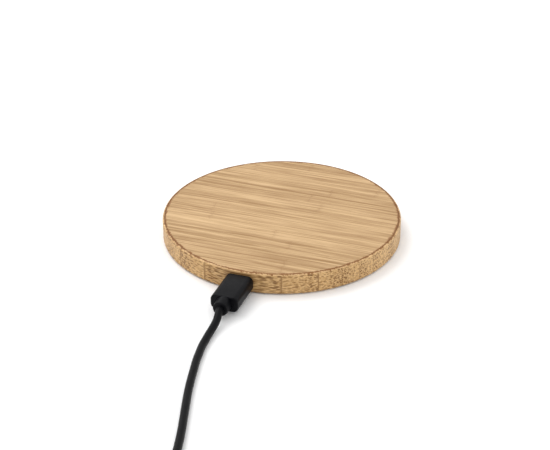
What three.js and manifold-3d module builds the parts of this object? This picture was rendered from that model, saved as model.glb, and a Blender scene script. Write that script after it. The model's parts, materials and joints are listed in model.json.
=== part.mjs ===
// A round bamboo wireless charging pad with its plug and cord, in millimetres.
// +Z is up and z = 0 is the table. The origin is the middle of the pad's underside, the socket
// faces -Y and the bamboo's grain runs along X.
import * as THREE from "three";
import { mergeVertices } from "three/addons/utils/BufferGeometryUtils.js";
import Module from "manifold-3d";

const wasm = await Module();
wasm.setup();

// ---- driving dimensions -------------------------------------------------------------------

const PAD_RADIUS = 46;
const PAD_HEIGHT = 8.5;
const ROUND_STEPS = 72;
const FIT = 0.05; // between two pieces that rest face to face
const GAP = 0.3; // between two pieces that meet across a joint line

const FOOT = { radius: 4, proud: 0.4, height: 1.05, circle: 36, recess: 4.2 };
const WALL = { inner: 42.5, floor: 1.6, topRound: 0.75, baseRound: 0.7 };
const LID = { thickness: 1.6, rabbet: 45.2, radius: 44.9, edgeRound: 0.12 };

const BOARD = { radius: 40.5, bottom: 2.6, thickness: 1.0 };
const SCREW = { circle: 35, shank: 0.95, head: 1.9, headHeight: 1.2, pilot: 1.1, boss: 3, tip: 1.2 };
const FOAM = { radius: 22, height: 0.9 };
const FERRITE = { radius: 25, thickness: 0.8, notchWidth: 2.6, notchStart: 8 };
const COIL = { inner: 10, outer: 21.8, thickness: 1.0 };
const ADHESIVE = { inner: 10.5, outer: 21.3, thickness: 0.35 };
const LEAD_RADIUS = 0.35;

const PORT_HEIGHT = 4.5; // the socket's and the plug's axis above the table
const PORT_SLOT = { width: 9.6, height: 3.8 };
const SOCKET = { width: 9.05, height: 3.2, wall: 0.3, front: 45.5, back: 38.2 };
const TONGUE = { width: 6.5, thickness: 0.6, tip: 43.5, base: 1.0 };
const NOSE = { width: 8.25, height: 2.4, wall: 0.25, tip: 39.65, root: 46 };
const CORE = { width: 7.55, height: 1.7, mouthWidth: 6.9, mouthHeight: 0.9, depth: 4.9 };
const GRIP = { width: 10.5, height: 6.0, corner: 2.1, front: 46.3, back: 62.3, edge: 0.6 };
const COLLAR = { front: 3.0, back: 2.8, end: 66.3 };

const CORD = { radius: 1.4, sides: 8, step: 7 };
const WINDING = {
  centre: new THREE.Vector2(0.78, -194),
  middle: 16.5,
  pitch: 2.86,
  rows: 3,
  bottom: 0.9,
};
const TIE = { width: 4.6, thickness: 0.6, angle: 100 };
const FAR_PLUG = {
  y: -221,
  z: 3.8,
  collar: { start: -7, end: -14.5, front: 2.5, back: 3.1 },
  grip: { length: 19, width: 15.7, height: 7.6, corner: 2.0, edge: 0.8 },
  shell: { length: 11.75, width: 12, height: 4.5, wall: 0.35, corner: 0.5 },
  insert: { width: 11.1, height: 1.9, length: 11.3 },
};

// The cord's centre line from the collar to the winding, then from the winding to the far plug.
const LEAD_ROUTE = [
  [0, -66.6, 4.5],
  [0.25, -68.2, 4.15],
  [0.48, -69.8, 3.5],
  [0.56, -71.3, 2.85],
  [0.55, -73, 2.35],
  [0.5, -75, 2],
  [0.46, -77.3, 1.75],
  [0.5, -79.7, 1.58],
  [0.62, -82.1, 1.48],
  [0.76, -84.6, 1.42],
  [1.07, -87.05, 1.4],
  [1.48, -89.5, 1.4],
  [2.27, -94.3, 1.4],
  [3.36, -99, 1.4],
  [4.98, -106, 1.4],
  [6.79, -112.9, 1.4],
  [8.76, -119.6, 1.4],
  [10.89, -126.6, 1.4],
  [13.07, -134, 1.45],
  [15.16, -142, 1.6],
  [17.05, -150.5, 1.85],
  [18.55, -159.5, 2.1],
  [19.55, -169, 2.25],
  [20.08, -178, 2.3],
  [20.14, -182, 2.3],
];
const TAIL_ROUTE = [
  [6.4, -215.8, 6.3],
  [3.2, -218.1, 5.5],
  [-0.2, -219.8, 4.7],
  [-3.6, -220.8, 4.1],
  [-6.7, -221, 3.8],
];

// ---- geometry helpers -----------------------------------------------------------------------

function toSolid(geometry) {
  const bare = geometry.clone();
  bare.deleteAttribute("normal");
  bare.deleteAttribute("uv");
  const merged = mergeVertices(bare, 1e-4);
  return new wasm.Manifold(
    new wasm.Mesh({
      numProp: 3,
      vertProperties: new Float32Array(merged.attributes.position.array),
      triVerts: new Uint32Array(merged.index.array),
    }),
  );
}

function toGeometry(solid) {
  const mesh = solid.getMesh();
  const geometry = new THREE.BufferGeometry();
  geometry.setAttribute("position", new THREE.BufferAttribute(mesh.vertProperties, 3));
  geometry.setIndex(new THREE.BufferAttribute(mesh.triVerts, 1));
  geometry.computeVertexNormals();
  return geometry;
}

function cut(base, ...tools) {
  return toGeometry(tools.reduce((solid, tool) => solid.subtract(toSolid(tool)), toSolid(base)));
}

function join(...parts) {
  return toGeometry(parts.map(toSolid).reduce((whole, part) => whole.add(part)));
}

function box(width, depth, height, x, y, z) {
  return new THREE.BoxGeometry(width, depth, height).translate(x, y, z);
}

// An upright cylinder standing on z = bottom.
function disc(radius, height, bottom, sides = 32) {
  const upright = new THREE.CylinderGeometry(radius, radius, height, sides).rotateX(Math.PI / 2);
  return upright.translate(0, 0, bottom + height / 2);
}

// A solid of revolution about Z from [radius, height] points, counter-clockwise in that plane.
function turned(points, sides = ROUND_STEPS) {
  const profile = points.map(([radius, height]) => new THREE.Vector2(radius, height));
  return new THREE.LatheGeometry(profile, sides).rotateX(Math.PI / 2);
}

function ring(inner, outer, bottom, top, sides = ROUND_STEPS) {
  return turned(
    [
      [inner, bottom],
      [outer, bottom],
      [outer, top],
      [inner, top],
      [inner, bottom],
    ],
    sides,
  );
}

// Points on a quarter or other arc of a profile, from one angle to another in degrees.
function arc(x, y, radius, from, to, steps) {
  return Array.from({ length: steps + 1 }, (_, i) => {
    const angle = THREE.MathUtils.degToRad(from + ((to - from) * i) / steps);
    return [x + radius * Math.cos(angle), y + radius * Math.sin(angle)];
  });
}

function roundedRectangle(width, height, corner, target = new THREE.Shape()) {
  const [x, y] = [width / 2 - corner, height / 2 - corner];
  target.absarc(x, -y, corner, -Math.PI / 2, 0);
  target.absarc(x, y, corner, 0, Math.PI / 2);
  target.absarc(-x, y, corner, Math.PI / 2, Math.PI);
  target.absarc(-x, -y, corner, Math.PI, 1.5 * Math.PI);
  target.closePath();
  return target;
}

function tubeSection(width, height, corner, wall) {
  const section = roundedRectangle(width, height, corner);
  const inside = roundedRectangle(width - 2 * wall, height - 2 * wall, corner - wall, new THREE.Path());
  section.holes.push(inside);
  return section;
}

// A section in X and Z, drawn out along -Y from one distance to another.
function drawnOut(section, from, to, curveSegments = 6) {
  const settings = { depth: to - from, bevelEnabled: false, curveSegments };
  const solid = new THREE.ExtrudeGeometry(section, settings).rotateX(Math.PI / 2);
  return solid.translate(0, -from, 0);
}

// The same, with both ends' edges rounded by `edge`.
function softBlock(width, height, corner, from, to, edge) {
  const section = roundedRectangle(width, height, corner);
  const solid = new THREE.ExtrudeGeometry(section, {
    depth: to - from - 2 * edge,
    bevelEnabled: true,
    bevelThickness: edge,
    bevelSize: edge,
    bevelOffset: -edge,
    bevelSegments: 2,
    curveSegments: 4,
  });
  return solid.rotateX(Math.PI / 2).translate(0, -from - edge, 0);
}

// A round section swept along a smooth curve through the given points.
function swept(points, radius, sides, step) {
  const path = new THREE.CatmullRomCurve3(points.map((point) => new THREE.Vector3(...point)));
  const section = new THREE.Shape(
    Array.from({ length: sides }, (_, i) => {
      const angle = (2 * Math.PI * i) / sides;
      return new THREE.Vector2(radius * Math.cos(angle), radius * Math.sin(angle));
    }),
  );
  const steps = Math.max(2, Math.ceil(path.getLength() / step));
  return new THREE.ExtrudeGeometry(section, { steps, extrudePath: path, bevelEnabled: false });
}

// ---- finishes ---------------------------------------------------------------------------------

function finish(color, roughness, metalness = 0) {
  return new THREE.MeshStandardMaterial({ color, roughness, metalness });
}

const BAMBOO = finish(0xd9b98a, 0.55);
const BAMBOO_FACE = finish(0xe2c294, 0.5);
const RUBBER = finish(0x26272a, 0.85);
const FOAM_BLACK = finish(0x2f3033, 0.95);
const FERRITE_GREY = finish(0x3a3b3e, 0.7);
const COPPER = finish(0xb8713a, 0.4, 0.9);
const ADHESIVE_WHITE = finish(0xe8e6df, 0.8);
const BOARD_GREEN = finish(0x1f5b3a, 0.5);
const CHIP_BLACK = finish(0x1c1d20, 0.55);
const CERAMIC = finish(0xa98d6c, 0.5);
const STEEL = finish(0xc4c7cb, 0.3, 1);
const PLUG_BLACK = finish(0x26262a, 0.45);
const CORD_BLACK = finish(0x222226, 0.5);
const STRAP_BLACK = finish(0x2a2a2e, 0.9);
const INSERT_WHITE = finish(0xe9e9ea, 0.5);

const pad = new THREE.Group();
const cable = new THREE.Group();

function piece(group, name, geometry, material, x = 0, y = 0, z = 0) {
  const mesh = new THREE.Mesh(geometry, material);
  mesh.name = name;
  mesh.position.set(x, y, z);
  group.add(mesh);
  return mesh;
}

// Where something stands on a circle round the pad's axis.
function onCircle(radius, degrees) {
  const angle = THREE.MathUtils.degToRad(degrees);
  return [radius * Math.cos(angle), radius * Math.sin(angle)];
}

const FOOT_ANGLES = [45, 135, 225, 315];
const SCREW_ANGLES = [90, 205, 335];
const FLOOR_TOP = FOOT.proud + WALL.floor;
const BOARD_TOP = BOARD.bottom + BOARD.thickness;
const LEDGE = PAD_HEIGHT - LID.thickness - FIT;

// ---- the bamboo cup and its lid --------------------------------------------------------------

function bodyShell() {
  const cup = turned([
    [0, FOOT.proud],
    ...arc(PAD_RADIUS - WALL.baseRound, FOOT.proud + WALL.baseRound, WALL.baseRound, -90, 0, 4),
    ...arc(PAD_RADIUS - WALL.topRound, PAD_HEIGHT - WALL.topRound, WALL.topRound, 0, 90, 3),
    [LID.rabbet, PAD_HEIGHT],
    [LID.rabbet, LEDGE],
    [WALL.inner, LEDGE],
    [WALL.inner, FLOOR_TOP],
    [0, FLOOR_TOP],
  ]);
  const bosses = SCREW_ANGLES.map((angle) => {
    const height = BOARD.bottom - FIT - FOOT.proud - FIT;
    return disc(SCREW.boss, height, FOOT.proud + FIT, 20).translate(...onCircle(SCREW.circle, angle), 0);
  });
  const recesses = FOOT_ANGLES.map((angle) => {
    const pocket = disc(FOOT.recess, FOOT.height + FIT, 0, 32);
    return pocket.translate(...onCircle(FOOT.circle, angle), 0);
  });
  const pilots = SCREW_ANGLES.map((angle) => {
    const hole = disc(SCREW.pilot, BOARD.bottom, SCREW.tip - FIT, 12);
    return hole.translate(...onCircle(SCREW.circle, angle), 0);
  });
  const slot = drawnOut(
    roundedRectangle(PORT_SLOT.width, PORT_SLOT.height, PORT_SLOT.height / 2),
    WALL.inner - 2,
    PAD_RADIUS + 1,
    8,
  ).translate(0, 0, PORT_HEIGHT);
  return cut(join(cup, ...bosses), ...recesses, ...pilots, slot);
}

function topLid() {
  const bottom = PAD_HEIGHT - LID.thickness;
  return turned([
    [0, bottom],
    [LID.radius, bottom],
    [LID.radius, PAD_HEIGHT - LID.edgeRound],
    [LID.radius - LID.edgeRound, PAD_HEIGHT],
    [0, PAD_HEIGHT],
  ]);
}

function foot() {
  return turned(
    [
      [0, 0],
      ...arc(FOOT.radius - 0.2, 0.2, 0.2, -90, 0, 1),
      [FOOT.radius, FOOT.height],
      [0, FOOT.height],
    ],
    24,
  );
}

piece(pad, "body_shell", bodyShell(), BAMBOO);
piece(pad, "top_lid", topLid(), BAMBOO_FACE);
FOOT_ANGLES.forEach((angle, i) => {
  piece(pad, `foot_${i + 1}`, foot(), RUBBER, ...onCircle(FOOT.circle, angle));
});

// ---- the circuit board and what is soldered to it -------------------------------------------

function circuitBoard() {
  const holes = SCREW_ANGLES.map((angle) => {
    const hole = disc(SCREW.pilot, 3 * BOARD.thickness, BOARD.bottom - BOARD.thickness, 16);
    return hole.translate(...onCircle(SCREW.circle, angle), 0);
  });
  const notchBack = SOCKET.back - GAP;
  const notchDepth = BOARD.radius + 1 - notchBack;
  const notch = box(SOCKET.width + 2 * GAP, notchDepth, 4, 0, -notchBack - notchDepth / 2, BOARD.bottom);
  return cut(disc(BOARD.radius, BOARD.thickness, BOARD.bottom, ROUND_STEPS), ...holes, notch);
}

// A moulded or ceramic body with its upper edges bevelled, standing on the board.
function component(width, depth, height, bevel = 0.1) {
  const section = roundedRectangle(width, depth, 2 * bevel);
  const lower = new THREE.ExtrudeGeometry(section, {
    depth: height - 2 * bevel,
    bevelEnabled: true,
    bevelThickness: bevel,
    bevelSize: bevel,
    bevelOffset: -bevel,
    bevelSegments: 1,
    curveSegments: 1,
  });
  return lower.translate(0, 0, bevel);
}

// Name, finish, width, depth, height, distance from the pad's axis, angle round it.
const COMPONENTS = [
  ["controller_chip", CHIP_BLACK, 6, 6, 0.9, 31.5, 300],
  ["power_stage_chip", CHIP_BLACK, 5, 5, 0.9, 31.5, 242],
  ["regulator_chip", CHIP_BLACK, 3, 1.7, 1.1, 32, 258],
  ["input_capacitor", CERAMIC, 3.2, 2.5, 1.8, 32, 281],
  ["crystal", STEEL, 3.2, 2.5, 0.8, 32, 318],
  ["power_inductor", FERRITE_GREY, 6.6, 6.6, 2.8, 32, 182],
  ["resonant_capacitor_1", CERAMIC, 3.2, 2.5, 2.0, 31, 0],
  ["resonant_capacitor_2", CERAMIC, 3.2, 2.5, 2.0, 31, 8],
  ["resonant_capacitor_3", CERAMIC, 3.2, 2.5, 2.0, 31, 16],
  ["resonant_capacitor_4", CERAMIC, 3.2, 2.5, 2.0, 31, 24],
];

piece(pad, "pcb", circuitBoard(), BOARD_GREEN);
COMPONENTS.forEach(([name, material, width, depth, height, distance, angle]) => {
  const mesh = piece(pad, name, component(width, depth, height), material);
  mesh.position.set(...onCircle(distance, angle), BOARD_TOP + FIT);
  mesh.rotation.z = THREE.MathUtils.degToRad(angle);
});

function boardScrew() {
  const shoulder = BOARD_TOP + FIT;
  return turned(
    [
      [0, SCREW.tip],
      [SCREW.shank * 0.5, SCREW.tip],
      [SCREW.shank, SCREW.tip + 0.5],
      [SCREW.shank, shoulder],
      [SCREW.head, shoulder],
      [SCREW.head, shoulder + SCREW.headHeight * 0.6],
      [SCREW.head * 0.7, shoulder + SCREW.headHeight],
      [0, shoulder + SCREW.headHeight],
    ],
    16,
  );
}

SCREW_ANGLES.forEach((angle, i) => {
  piece(pad, `board_screw_${i + 1}`, boardScrew(), STEEL, ...onCircle(SCREW.circle, angle));
});

// ---- the charging coil, held up against the lid by foam --------------------------------------

const FOAM_BOTTOM = BOARD_TOP + FIT;
const FERRITE_BOTTOM = FOAM_BOTTOM + FOAM.height + FIT;
const COIL_BOTTOM = FERRITE_BOTTOM + FERRITE.thickness + FIT;
const ADHESIVE_BOTTOM = COIL_BOTTOM + COIL.thickness + FIT;
const NOTCH_ANGLE = 340;

function ferriteShield() {
  const length = FERRITE.radius - FERRITE.notchStart + 1;
  const notch = box(length, FERRITE.notchWidth, 4, FERRITE.notchStart + length / 2, 0, FERRITE_BOTTOM);
  notch.rotateZ(THREE.MathUtils.degToRad(NOTCH_ANGLE));
  return cut(disc(FERRITE.radius, FERRITE.thickness, FERRITE_BOTTOM, 48), notch);
}

// The coil's inner end runs out through the ferrite's notch; its outer end bends straight down.
function coilLeads() {
  const low = BOARD_TOP + FIT + LEAD_RADIUS;
  const notch = FERRITE_BOTTOM + FERRITE.thickness / 2;
  const under = COIL_BOTTOM + LEAD_RADIUS - 0.05;
  const along = (distance, z) => [...onCircle(distance, NOTCH_ANGLE), z];
  const beside = (distance, z) => [...onCircle(distance, NOTCH_ANGLE - 16), z];
  const inner = [
    along(8.4, under),
    along(9.2, notch + 0.15),
    along(10.2, notch),
    along(15, notch),
    along(20, notch),
    along(24.5, notch),
    along(26.2, low + 0.6),
    along(28.4, low),
  ];
  const outer = [beside(22.5, under), beside(25.6, under), beside(27.2, low + 0.8), beside(29.5, low)];
  return [inner, outer].map((route) => swept(route, LEAD_RADIUS, 8, 1.2));
}

piece(pad, "foam_pad", disc(FOAM.radius, FOAM.height, FOAM_BOTTOM, 48), FOAM_BLACK);
piece(pad, "ferrite_shield", ferriteShield(), FERRITE_GREY);
piece(
  pad,
  "transmitter_coil",
  ring(COIL.inner, COIL.outer, COIL_BOTTOM, COIL_BOTTOM + COIL.thickness, 64),
  COPPER,
);
piece(
  pad,
  "coil_adhesive",
  ring(ADHESIVE.inner, ADHESIVE.outer, ADHESIVE_BOTTOM, ADHESIVE_BOTTOM + ADHESIVE.thickness, 64),
  ADHESIVE_WHITE,
);
const [innerLead, outerLead] = coilLeads();
piece(pad, "coil_lead_inner", innerLead, COPPER);
piece(pad, "coil_lead_outer", outerLead, COPPER);
piece(
  pad,
  "thermistor",
  new THREE.CapsuleGeometry(0.5, 1.6, 3, 12).rotateZ(Math.PI / 2),
  CHIP_BLACK,
  0,
  0,
  COIL_BOTTOM + 0.5,
);

// ---- the socket in the wall --------------------------------------------------------------------

function socketTongue() {
  const baseFront = SOCKET.back + FIT + TONGUE.base;
  const clear = 2 * (SOCKET.wall + 0.1);
  const [width, height] = [SOCKET.width - clear, SOCKET.height - clear];
  const base = drawnOut(roundedRectangle(width, height, height / 2), SOCKET.back + FIT, baseFront);
  const blade = box(
    TONGUE.width,
    TONGUE.tip - SOCKET.back - 2 * FIT,
    TONGUE.thickness,
    0,
    -(TONGUE.tip + SOCKET.back + 2 * FIT) / 2,
    0,
  );
  return join(base, blade);
}

const socketSection = tubeSection(SOCKET.width, SOCKET.height, SOCKET.height / 2, SOCKET.wall);
piece(pad, "usb_socket_shell", drawnOut(socketSection, SOCKET.back, SOCKET.front), STEEL, 0, 0, PORT_HEIGHT);
piece(pad, "usb_socket_tongue", socketTongue(), CHIP_BLACK, 0, 0, PORT_HEIGHT);

// ---- the plug in the socket --------------------------------------------------------------------

function plugCore() {
  const section = roundedRectangle(CORE.width, CORE.height, CORE.height / 2);
  const body = drawnOut(section, NOSE.tip + FIT, NOSE.root);
  const mouth = box(
    CORE.mouthWidth,
    CORE.depth + 1,
    CORE.mouthHeight,
    0,
    -NOSE.tip - (CORE.depth - 1) / 2,
    0,
  );
  return cut(body, mouth);
}

function taper(front, back, from, to) {
  const cone = new THREE.CylinderGeometry(front, back, to - from, 24);
  return cone.translate(0, -(from + to) / 2, 0);
}

const noseSection = tubeSection(NOSE.width, NOSE.height, NOSE.height / 2, NOSE.wall);
piece(cable, "plug_shell", drawnOut(noseSection, NOSE.tip, NOSE.root), STEEL, 0, 0, PORT_HEIGHT);
piece(cable, "plug_core", plugCore(), CHIP_BLACK, 0, 0, PORT_HEIGHT);
piece(
  cable,
  "plug_overmold",
  softBlock(GRIP.width, GRIP.height, GRIP.corner, GRIP.front, GRIP.back, GRIP.edge),
  PLUG_BLACK,
  0,
  0,
  PORT_HEIGHT,
);
piece(
  cable,
  "plug_collar",
  taper(COLLAR.front, COLLAR.back, GRIP.back + FIT, COLLAR.end),
  PLUG_BLACK,
  0,
  0,
  PORT_HEIGHT,
);

// ---- the cord, its wound length and the tie round it -----------------------------------------

const WOUND = WINDING.rows * WINDING.pitch;
const windingTop = WINDING.bottom + WOUND;

function woundCord() {
  const [inner, outer] = [WINDING.middle - WOUND / 2, WINDING.middle + WOUND / 2];
  return ring(inner, outer, WINDING.bottom, windingTop, 48);
}

// The part of a route that keeps clear of the winding.
function clearOfWinding(route) {
  const reach = WINDING.middle + WOUND / 2 + CORD.radius + GAP;
  return route.filter(([x, y]) => Math.hypot(x - WINDING.centre.x, y - WINDING.centre.y) > reach);
}

function tieLoop() {
  const inside = WOUND + 2 * GAP;
  const outside = inside + 2 * TIE.thickness;
  const section = tubeSection(outside, outside, 1.2, TIE.thickness);
  return drawnOut(section, -TIE.width / 2, TIE.width / 2, 2)
    .translate(WINDING.middle, 0, WINDING.bottom + WOUND / 2)
    .rotateZ(THREE.MathUtils.degToRad(TIE.angle));
}

const { x: windingX, y: windingY } = WINDING.centre;
piece(cable, "cord_lead", swept(clearOfWinding(LEAD_ROUTE), CORD.radius, CORD.sides, CORD.step), CORD_BLACK);
piece(cable, "cord_coil", woundCord(), CORD_BLACK, windingX, windingY);
piece(cable, "cord_tie", tieLoop(), STRAP_BLACK, windingX, windingY);
piece(cable, "cord_tail", swept(clearOfWinding(TAIL_ROUTE), CORD.radius, CORD.sides, CORD.step), CORD_BLACK);

// ---- the plug at the cord's far end -------------------------------------------------------------

// Far plug pieces are drawn out along -Y and then turned to lie along -X.
function farPiece(name, geometry, material) {
  const turnedRound = geometry.rotateZ(-Math.PI / 2);
  piece(cable, name, turnedRound, material, 0, FAR_PLUG.y, FAR_PLUG.z);
}

const { collar: farCollar, grip: farGrip, shell: farShell, insert: farInsert } = FAR_PLUG;
const farGripStart = -farCollar.end + FIT;
const farGripEnd = farGripStart + farGrip.length;
const farShellEnd = farGripEnd + FIT + farShell.length;
farPiece(
  "far_plug_collar",
  taper(farCollar.back, farCollar.front, -farCollar.start, -farCollar.end),
  PLUG_BLACK,
);
farPiece(
  "far_plug_overmold",
  softBlock(farGrip.width, farGrip.height, farGrip.corner, farGripStart, farGripEnd, farGrip.edge),
  PLUG_BLACK,
);
farPiece(
  "far_plug_shell",
  drawnOut(
    tubeSection(farShell.width, farShell.height, farShell.corner, farShell.wall),
    farGripEnd + FIT,
    farShellEnd,
    2,
  ),
  STEEL,
);
farPiece(
  "far_plug_insert",
  box(
    farInsert.width,
    farInsert.length,
    farInsert.height,
    0,
    -farGripEnd - FIT - farInsert.length / 2,
    (farShell.height - farInsert.height) / 2 - farShell.wall - FIT,
  ),
  INSERT_WHITE,
);

const assembly = new THREE.Group();
assembly.add(pad, cable);

export default assembly;
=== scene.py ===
"""A round bamboo wireless charging pad, the plug in its edge and its wound cord."""
import json
import logging
import math
from dataclasses import dataclass, field
from enum import Enum
from typing import Iterable, Sequence, Union

import bmesh
import bpy
from mathutils import Matrix, Vector, noise

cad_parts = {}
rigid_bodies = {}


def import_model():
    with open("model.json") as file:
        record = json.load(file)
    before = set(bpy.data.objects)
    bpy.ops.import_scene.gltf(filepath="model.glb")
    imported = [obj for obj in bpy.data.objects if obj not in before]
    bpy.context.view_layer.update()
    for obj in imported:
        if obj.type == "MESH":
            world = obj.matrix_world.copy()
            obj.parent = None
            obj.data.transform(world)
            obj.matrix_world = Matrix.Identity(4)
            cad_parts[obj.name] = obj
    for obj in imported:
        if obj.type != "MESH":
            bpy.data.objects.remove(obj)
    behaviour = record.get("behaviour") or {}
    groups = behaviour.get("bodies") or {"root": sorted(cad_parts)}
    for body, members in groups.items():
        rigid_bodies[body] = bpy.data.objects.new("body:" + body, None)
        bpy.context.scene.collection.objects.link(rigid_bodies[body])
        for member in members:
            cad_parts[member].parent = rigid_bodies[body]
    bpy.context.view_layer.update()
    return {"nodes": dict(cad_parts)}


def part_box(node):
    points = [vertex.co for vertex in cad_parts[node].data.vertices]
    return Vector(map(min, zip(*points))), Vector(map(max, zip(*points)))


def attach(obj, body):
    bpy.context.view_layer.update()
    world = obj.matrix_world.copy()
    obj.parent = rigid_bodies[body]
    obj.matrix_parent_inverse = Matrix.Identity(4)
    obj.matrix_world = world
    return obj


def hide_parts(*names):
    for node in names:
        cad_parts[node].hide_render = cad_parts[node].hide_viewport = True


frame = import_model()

MM = 0.001
LOG = logging.getLogger("charging_pad")

Point = tuple[float, float, float]
Input = Union[bpy.types.NodeSocket, float, Sequence[float]]


# ---- meshes ------------------------------------------------------------------------------------


def arc(x: float, y: float, radius: float, start: float, end: float, steps: int) -> list[tuple[float, float]]:
    """Points along an arc.

    Args:
        x, y: its centre.
        radius: its radius.
        start, end: its two angles, in degrees.
        steps: how many straight pieces it has.

    Returns:
        The points from the start to the end.
    """
    angles = [math.radians(start + (end - start) * i / steps) for i in range(steps + 1)]
    return [(x + radius * math.cos(a), y + radius * math.sin(a)) for a in angles]


def rounded_rectangle(width: float, height: float, corner: float, steps: int) -> list[tuple[float, float]]:
    """A rectangle with round corners about the origin.

    Args:
        width, height: its sides.
        corner: its corners' radius.
        steps: straight pieces in each corner.

    Returns:
        Its points, counter-clockwise.
    """
    x, y = width / 2 - corner, height / 2 - corner
    corners = [(x, -y, -90), (x, y, 0), (-x, y, 90), (-x, -y, 180)]
    return [p for cx, cy, a in corners for p in arc(cx, cy, corner, a, a + 90, steps)]


class Ends(Enum):
    """How a row of rings is closed at its two ends."""

    CAPPED = "capped"
    JOINED = "joined"


class Solid:
    """Points in millimetres and the faces between them, on their way to becoming a piece."""

    def __init__(self) -> None:
        """Starts with nothing in it."""
        self.points: list[Vector] = []
        self.faces: list[tuple[int, ...]] = []

    def ring(self, points: Iterable[Sequence[float]]) -> list[int]:
        """Adds points and returns their numbers."""
        first = len(self.points)
        self.points += [Vector(p) for p in points]
        return list(range(first, len(self.points)))

    def bridge(self, a: list[int], b: list[int]) -> None:
        """Joins two rings of the same length with quads, or a ring to a single point."""
        for i in range(max(len(a), len(b))):
            j = (i + 1) % max(len(a), len(b))
            if len(b) == 1:
                self.faces.append((a[i], a[j], b[0]))
            elif len(a) == 1:
                self.faces.append((a[0], b[j], b[i]))
            else:
                self.faces.append((a[i], a[j], b[j], b[i]))

    @classmethod
    def lofted(cls, rings: Sequence[Sequence[Sequence[float]]], ends: Ends = Ends.CAPPED) -> "Solid":
        """A skin over a row of rings.

        Args:
            rings: the rings' points; a ring of one point is a pole.
            ends: whether the first and last rings are capped or joined to each other.

        Returns:
            The solid.
        """
        made = cls()
        numbers = [made.ring(r) for r in rings]
        for a, b in zip(numbers, numbers[1:]):
            made.bridge(a, b)
        if ends is Ends.JOINED:
            made.bridge(numbers[-1], numbers[0])
        else:
            made.faces += [tuple(r) for r in (numbers[0], numbers[-1]) if len(r) > 2]
        return made

    @classmethod
    def turned(
        cls, profile: Sequence[tuple[float, float]], segments: int, ends: Ends = Ends.CAPPED
    ) -> "Solid":
        """A solid turned about Z.

        Args:
            profile: (radius, height) points; a radius of 0 is a pole.
            segments: faces round the axis.
            ends: joined for a ring whose profile goes all the way round.

        Returns:
            The solid.
        """
        turns = [2 * math.pi * i / segments for i in range(segments)]
        rings = [
            [(0, 0, z)] if r == 0 else [(r * math.cos(a), r * math.sin(a), z) for a in turns]
            for r, z in profile
        ]
        return cls.lofted(rings, ends)

    @classmethod
    def drawn(
        cls,
        size: tuple[float, float, float],
        profile: Sequence[tuple[float, float]],
        ends: Ends = Ends.CAPPED,
        steps: int = 12,
    ) -> "Solid":
        """A round-cornered section in X and Z, drawn out along -Y.

        Args:
            size: the section's width, height and corner radius.
            profile: (inset, distance) points: how far the section shrinks, and where along -Y.
            ends: joined for a shell whose profile comes back down its inside.
            steps: straight pieces in each corner.

        Returns:
            The solid.
        """
        width, height, corner = size
        rings = [
            [
                (x, -along, z)
                for x, z in rounded_rectangle(
                    width - 2 * inset, height - 2 * inset, max(corner - inset, 0.04), steps
                )
            ]
            for inset, along in profile
        ]
        return cls.lofted(rings, ends)

    def moved(self, x: float = 0, y: float = 0, z: float = 0) -> "Solid":
        """Shifts every point and returns the solid."""
        self.points = [p + Vector((x, y, z)) for p in self.points]
        return self

    def spun(self, degrees: float) -> "Solid":
        """Turns every point about Z and returns the solid."""
        turn = Matrix.Rotation(math.radians(degrees), 3, "Z")
        self.points = [turn @ p for p in self.points]
        return self

    def with_(self, other: "Solid") -> "Solid":
        """Adds another solid's points and faces to this one and returns it."""
        first = len(self.points)
        self.points += other.points
        self.faces += [tuple(first + i for i in f) for f in other.faces]
        return self

    def to_object(self, name: str, material: bpy.types.Material | None = None) -> bpy.types.Object:
        """Makes the piece.

        Args:
            name: its name.
            material: its material, where it isn't only a cutter.

        Returns:
            The object, at the origin, with its faces pointing outwards.
        """
        mesh = bpy.data.meshes.new(name)
        mesh.from_pydata([tuple(p * MM) for p in self.points], [], self.faces)
        finish_mesh(mesh)
        made = bpy.data.objects.new(name, mesh)
        bpy.context.scene.collection.objects.link(made)
        if material:
            mesh.materials.append(material)
        return made


def finish_mesh(mesh: bpy.types.Mesh, sharp: float = 32) -> None:
    """Turns a mesh's faces outwards and smooths it except at its sharp edges.

    Args:
        mesh: the mesh, whose shells are closed.
        sharp: the angle in degrees past which an edge stays sharp.
    """
    work = bmesh.new()
    work.from_mesh(mesh)
    bmesh.ops.remove_doubles(work, verts=work.verts, dist=1e-7)
    bmesh.ops.recalc_face_normals(work, faces=work.faces)
    work.to_mesh(mesh)
    work.free()
    mesh.shade_smooth()
    mesh.set_sharp_from_angle(angle=math.radians(sharp))


def baked(source: bpy.types.Object) -> bpy.types.Object:
    """Turns a piece's modifiers into plain mesh.

    Args:
        source: the piece, with its modifiers on it.

    Returns:
        The same object, with the evaluated mesh and no modifiers.
    """
    graph = bpy.context.evaluated_depsgraph_get()
    mesh = bpy.data.meshes.new_from_object(source.evaluated_get(graph), depsgraph=graph)
    source.modifiers.clear()
    source.data = mesh
    return source


def carved(
    base: bpy.types.Object, cutters: Sequence[bpy.types.Object], added: Sequence[bpy.types.Object] = ()
) -> bpy.types.Object:
    """Joins solids to a piece and then cuts others out of it.

    Args:
        base: the piece.
        cutters: what is cut away, which is removed afterwards.
        added: what is joined to it first, which is removed too.

    Returns:
        The piece, as plain mesh.
    """
    for solid in [*added, *cutters]:
        change = base.modifiers.new(solid.name, "BOOLEAN")
        change.operation = "UNION" if solid in added else "DIFFERENCE"
        change.solver = "EXACT"
        change.object = solid
    baked(base)
    for solid in [*added, *cutters]:
        bpy.data.objects.remove(solid)
    finish_mesh(base.data)
    return base


# ---- what repeats, by geometry nodes -----------------------------------------------------------


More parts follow.
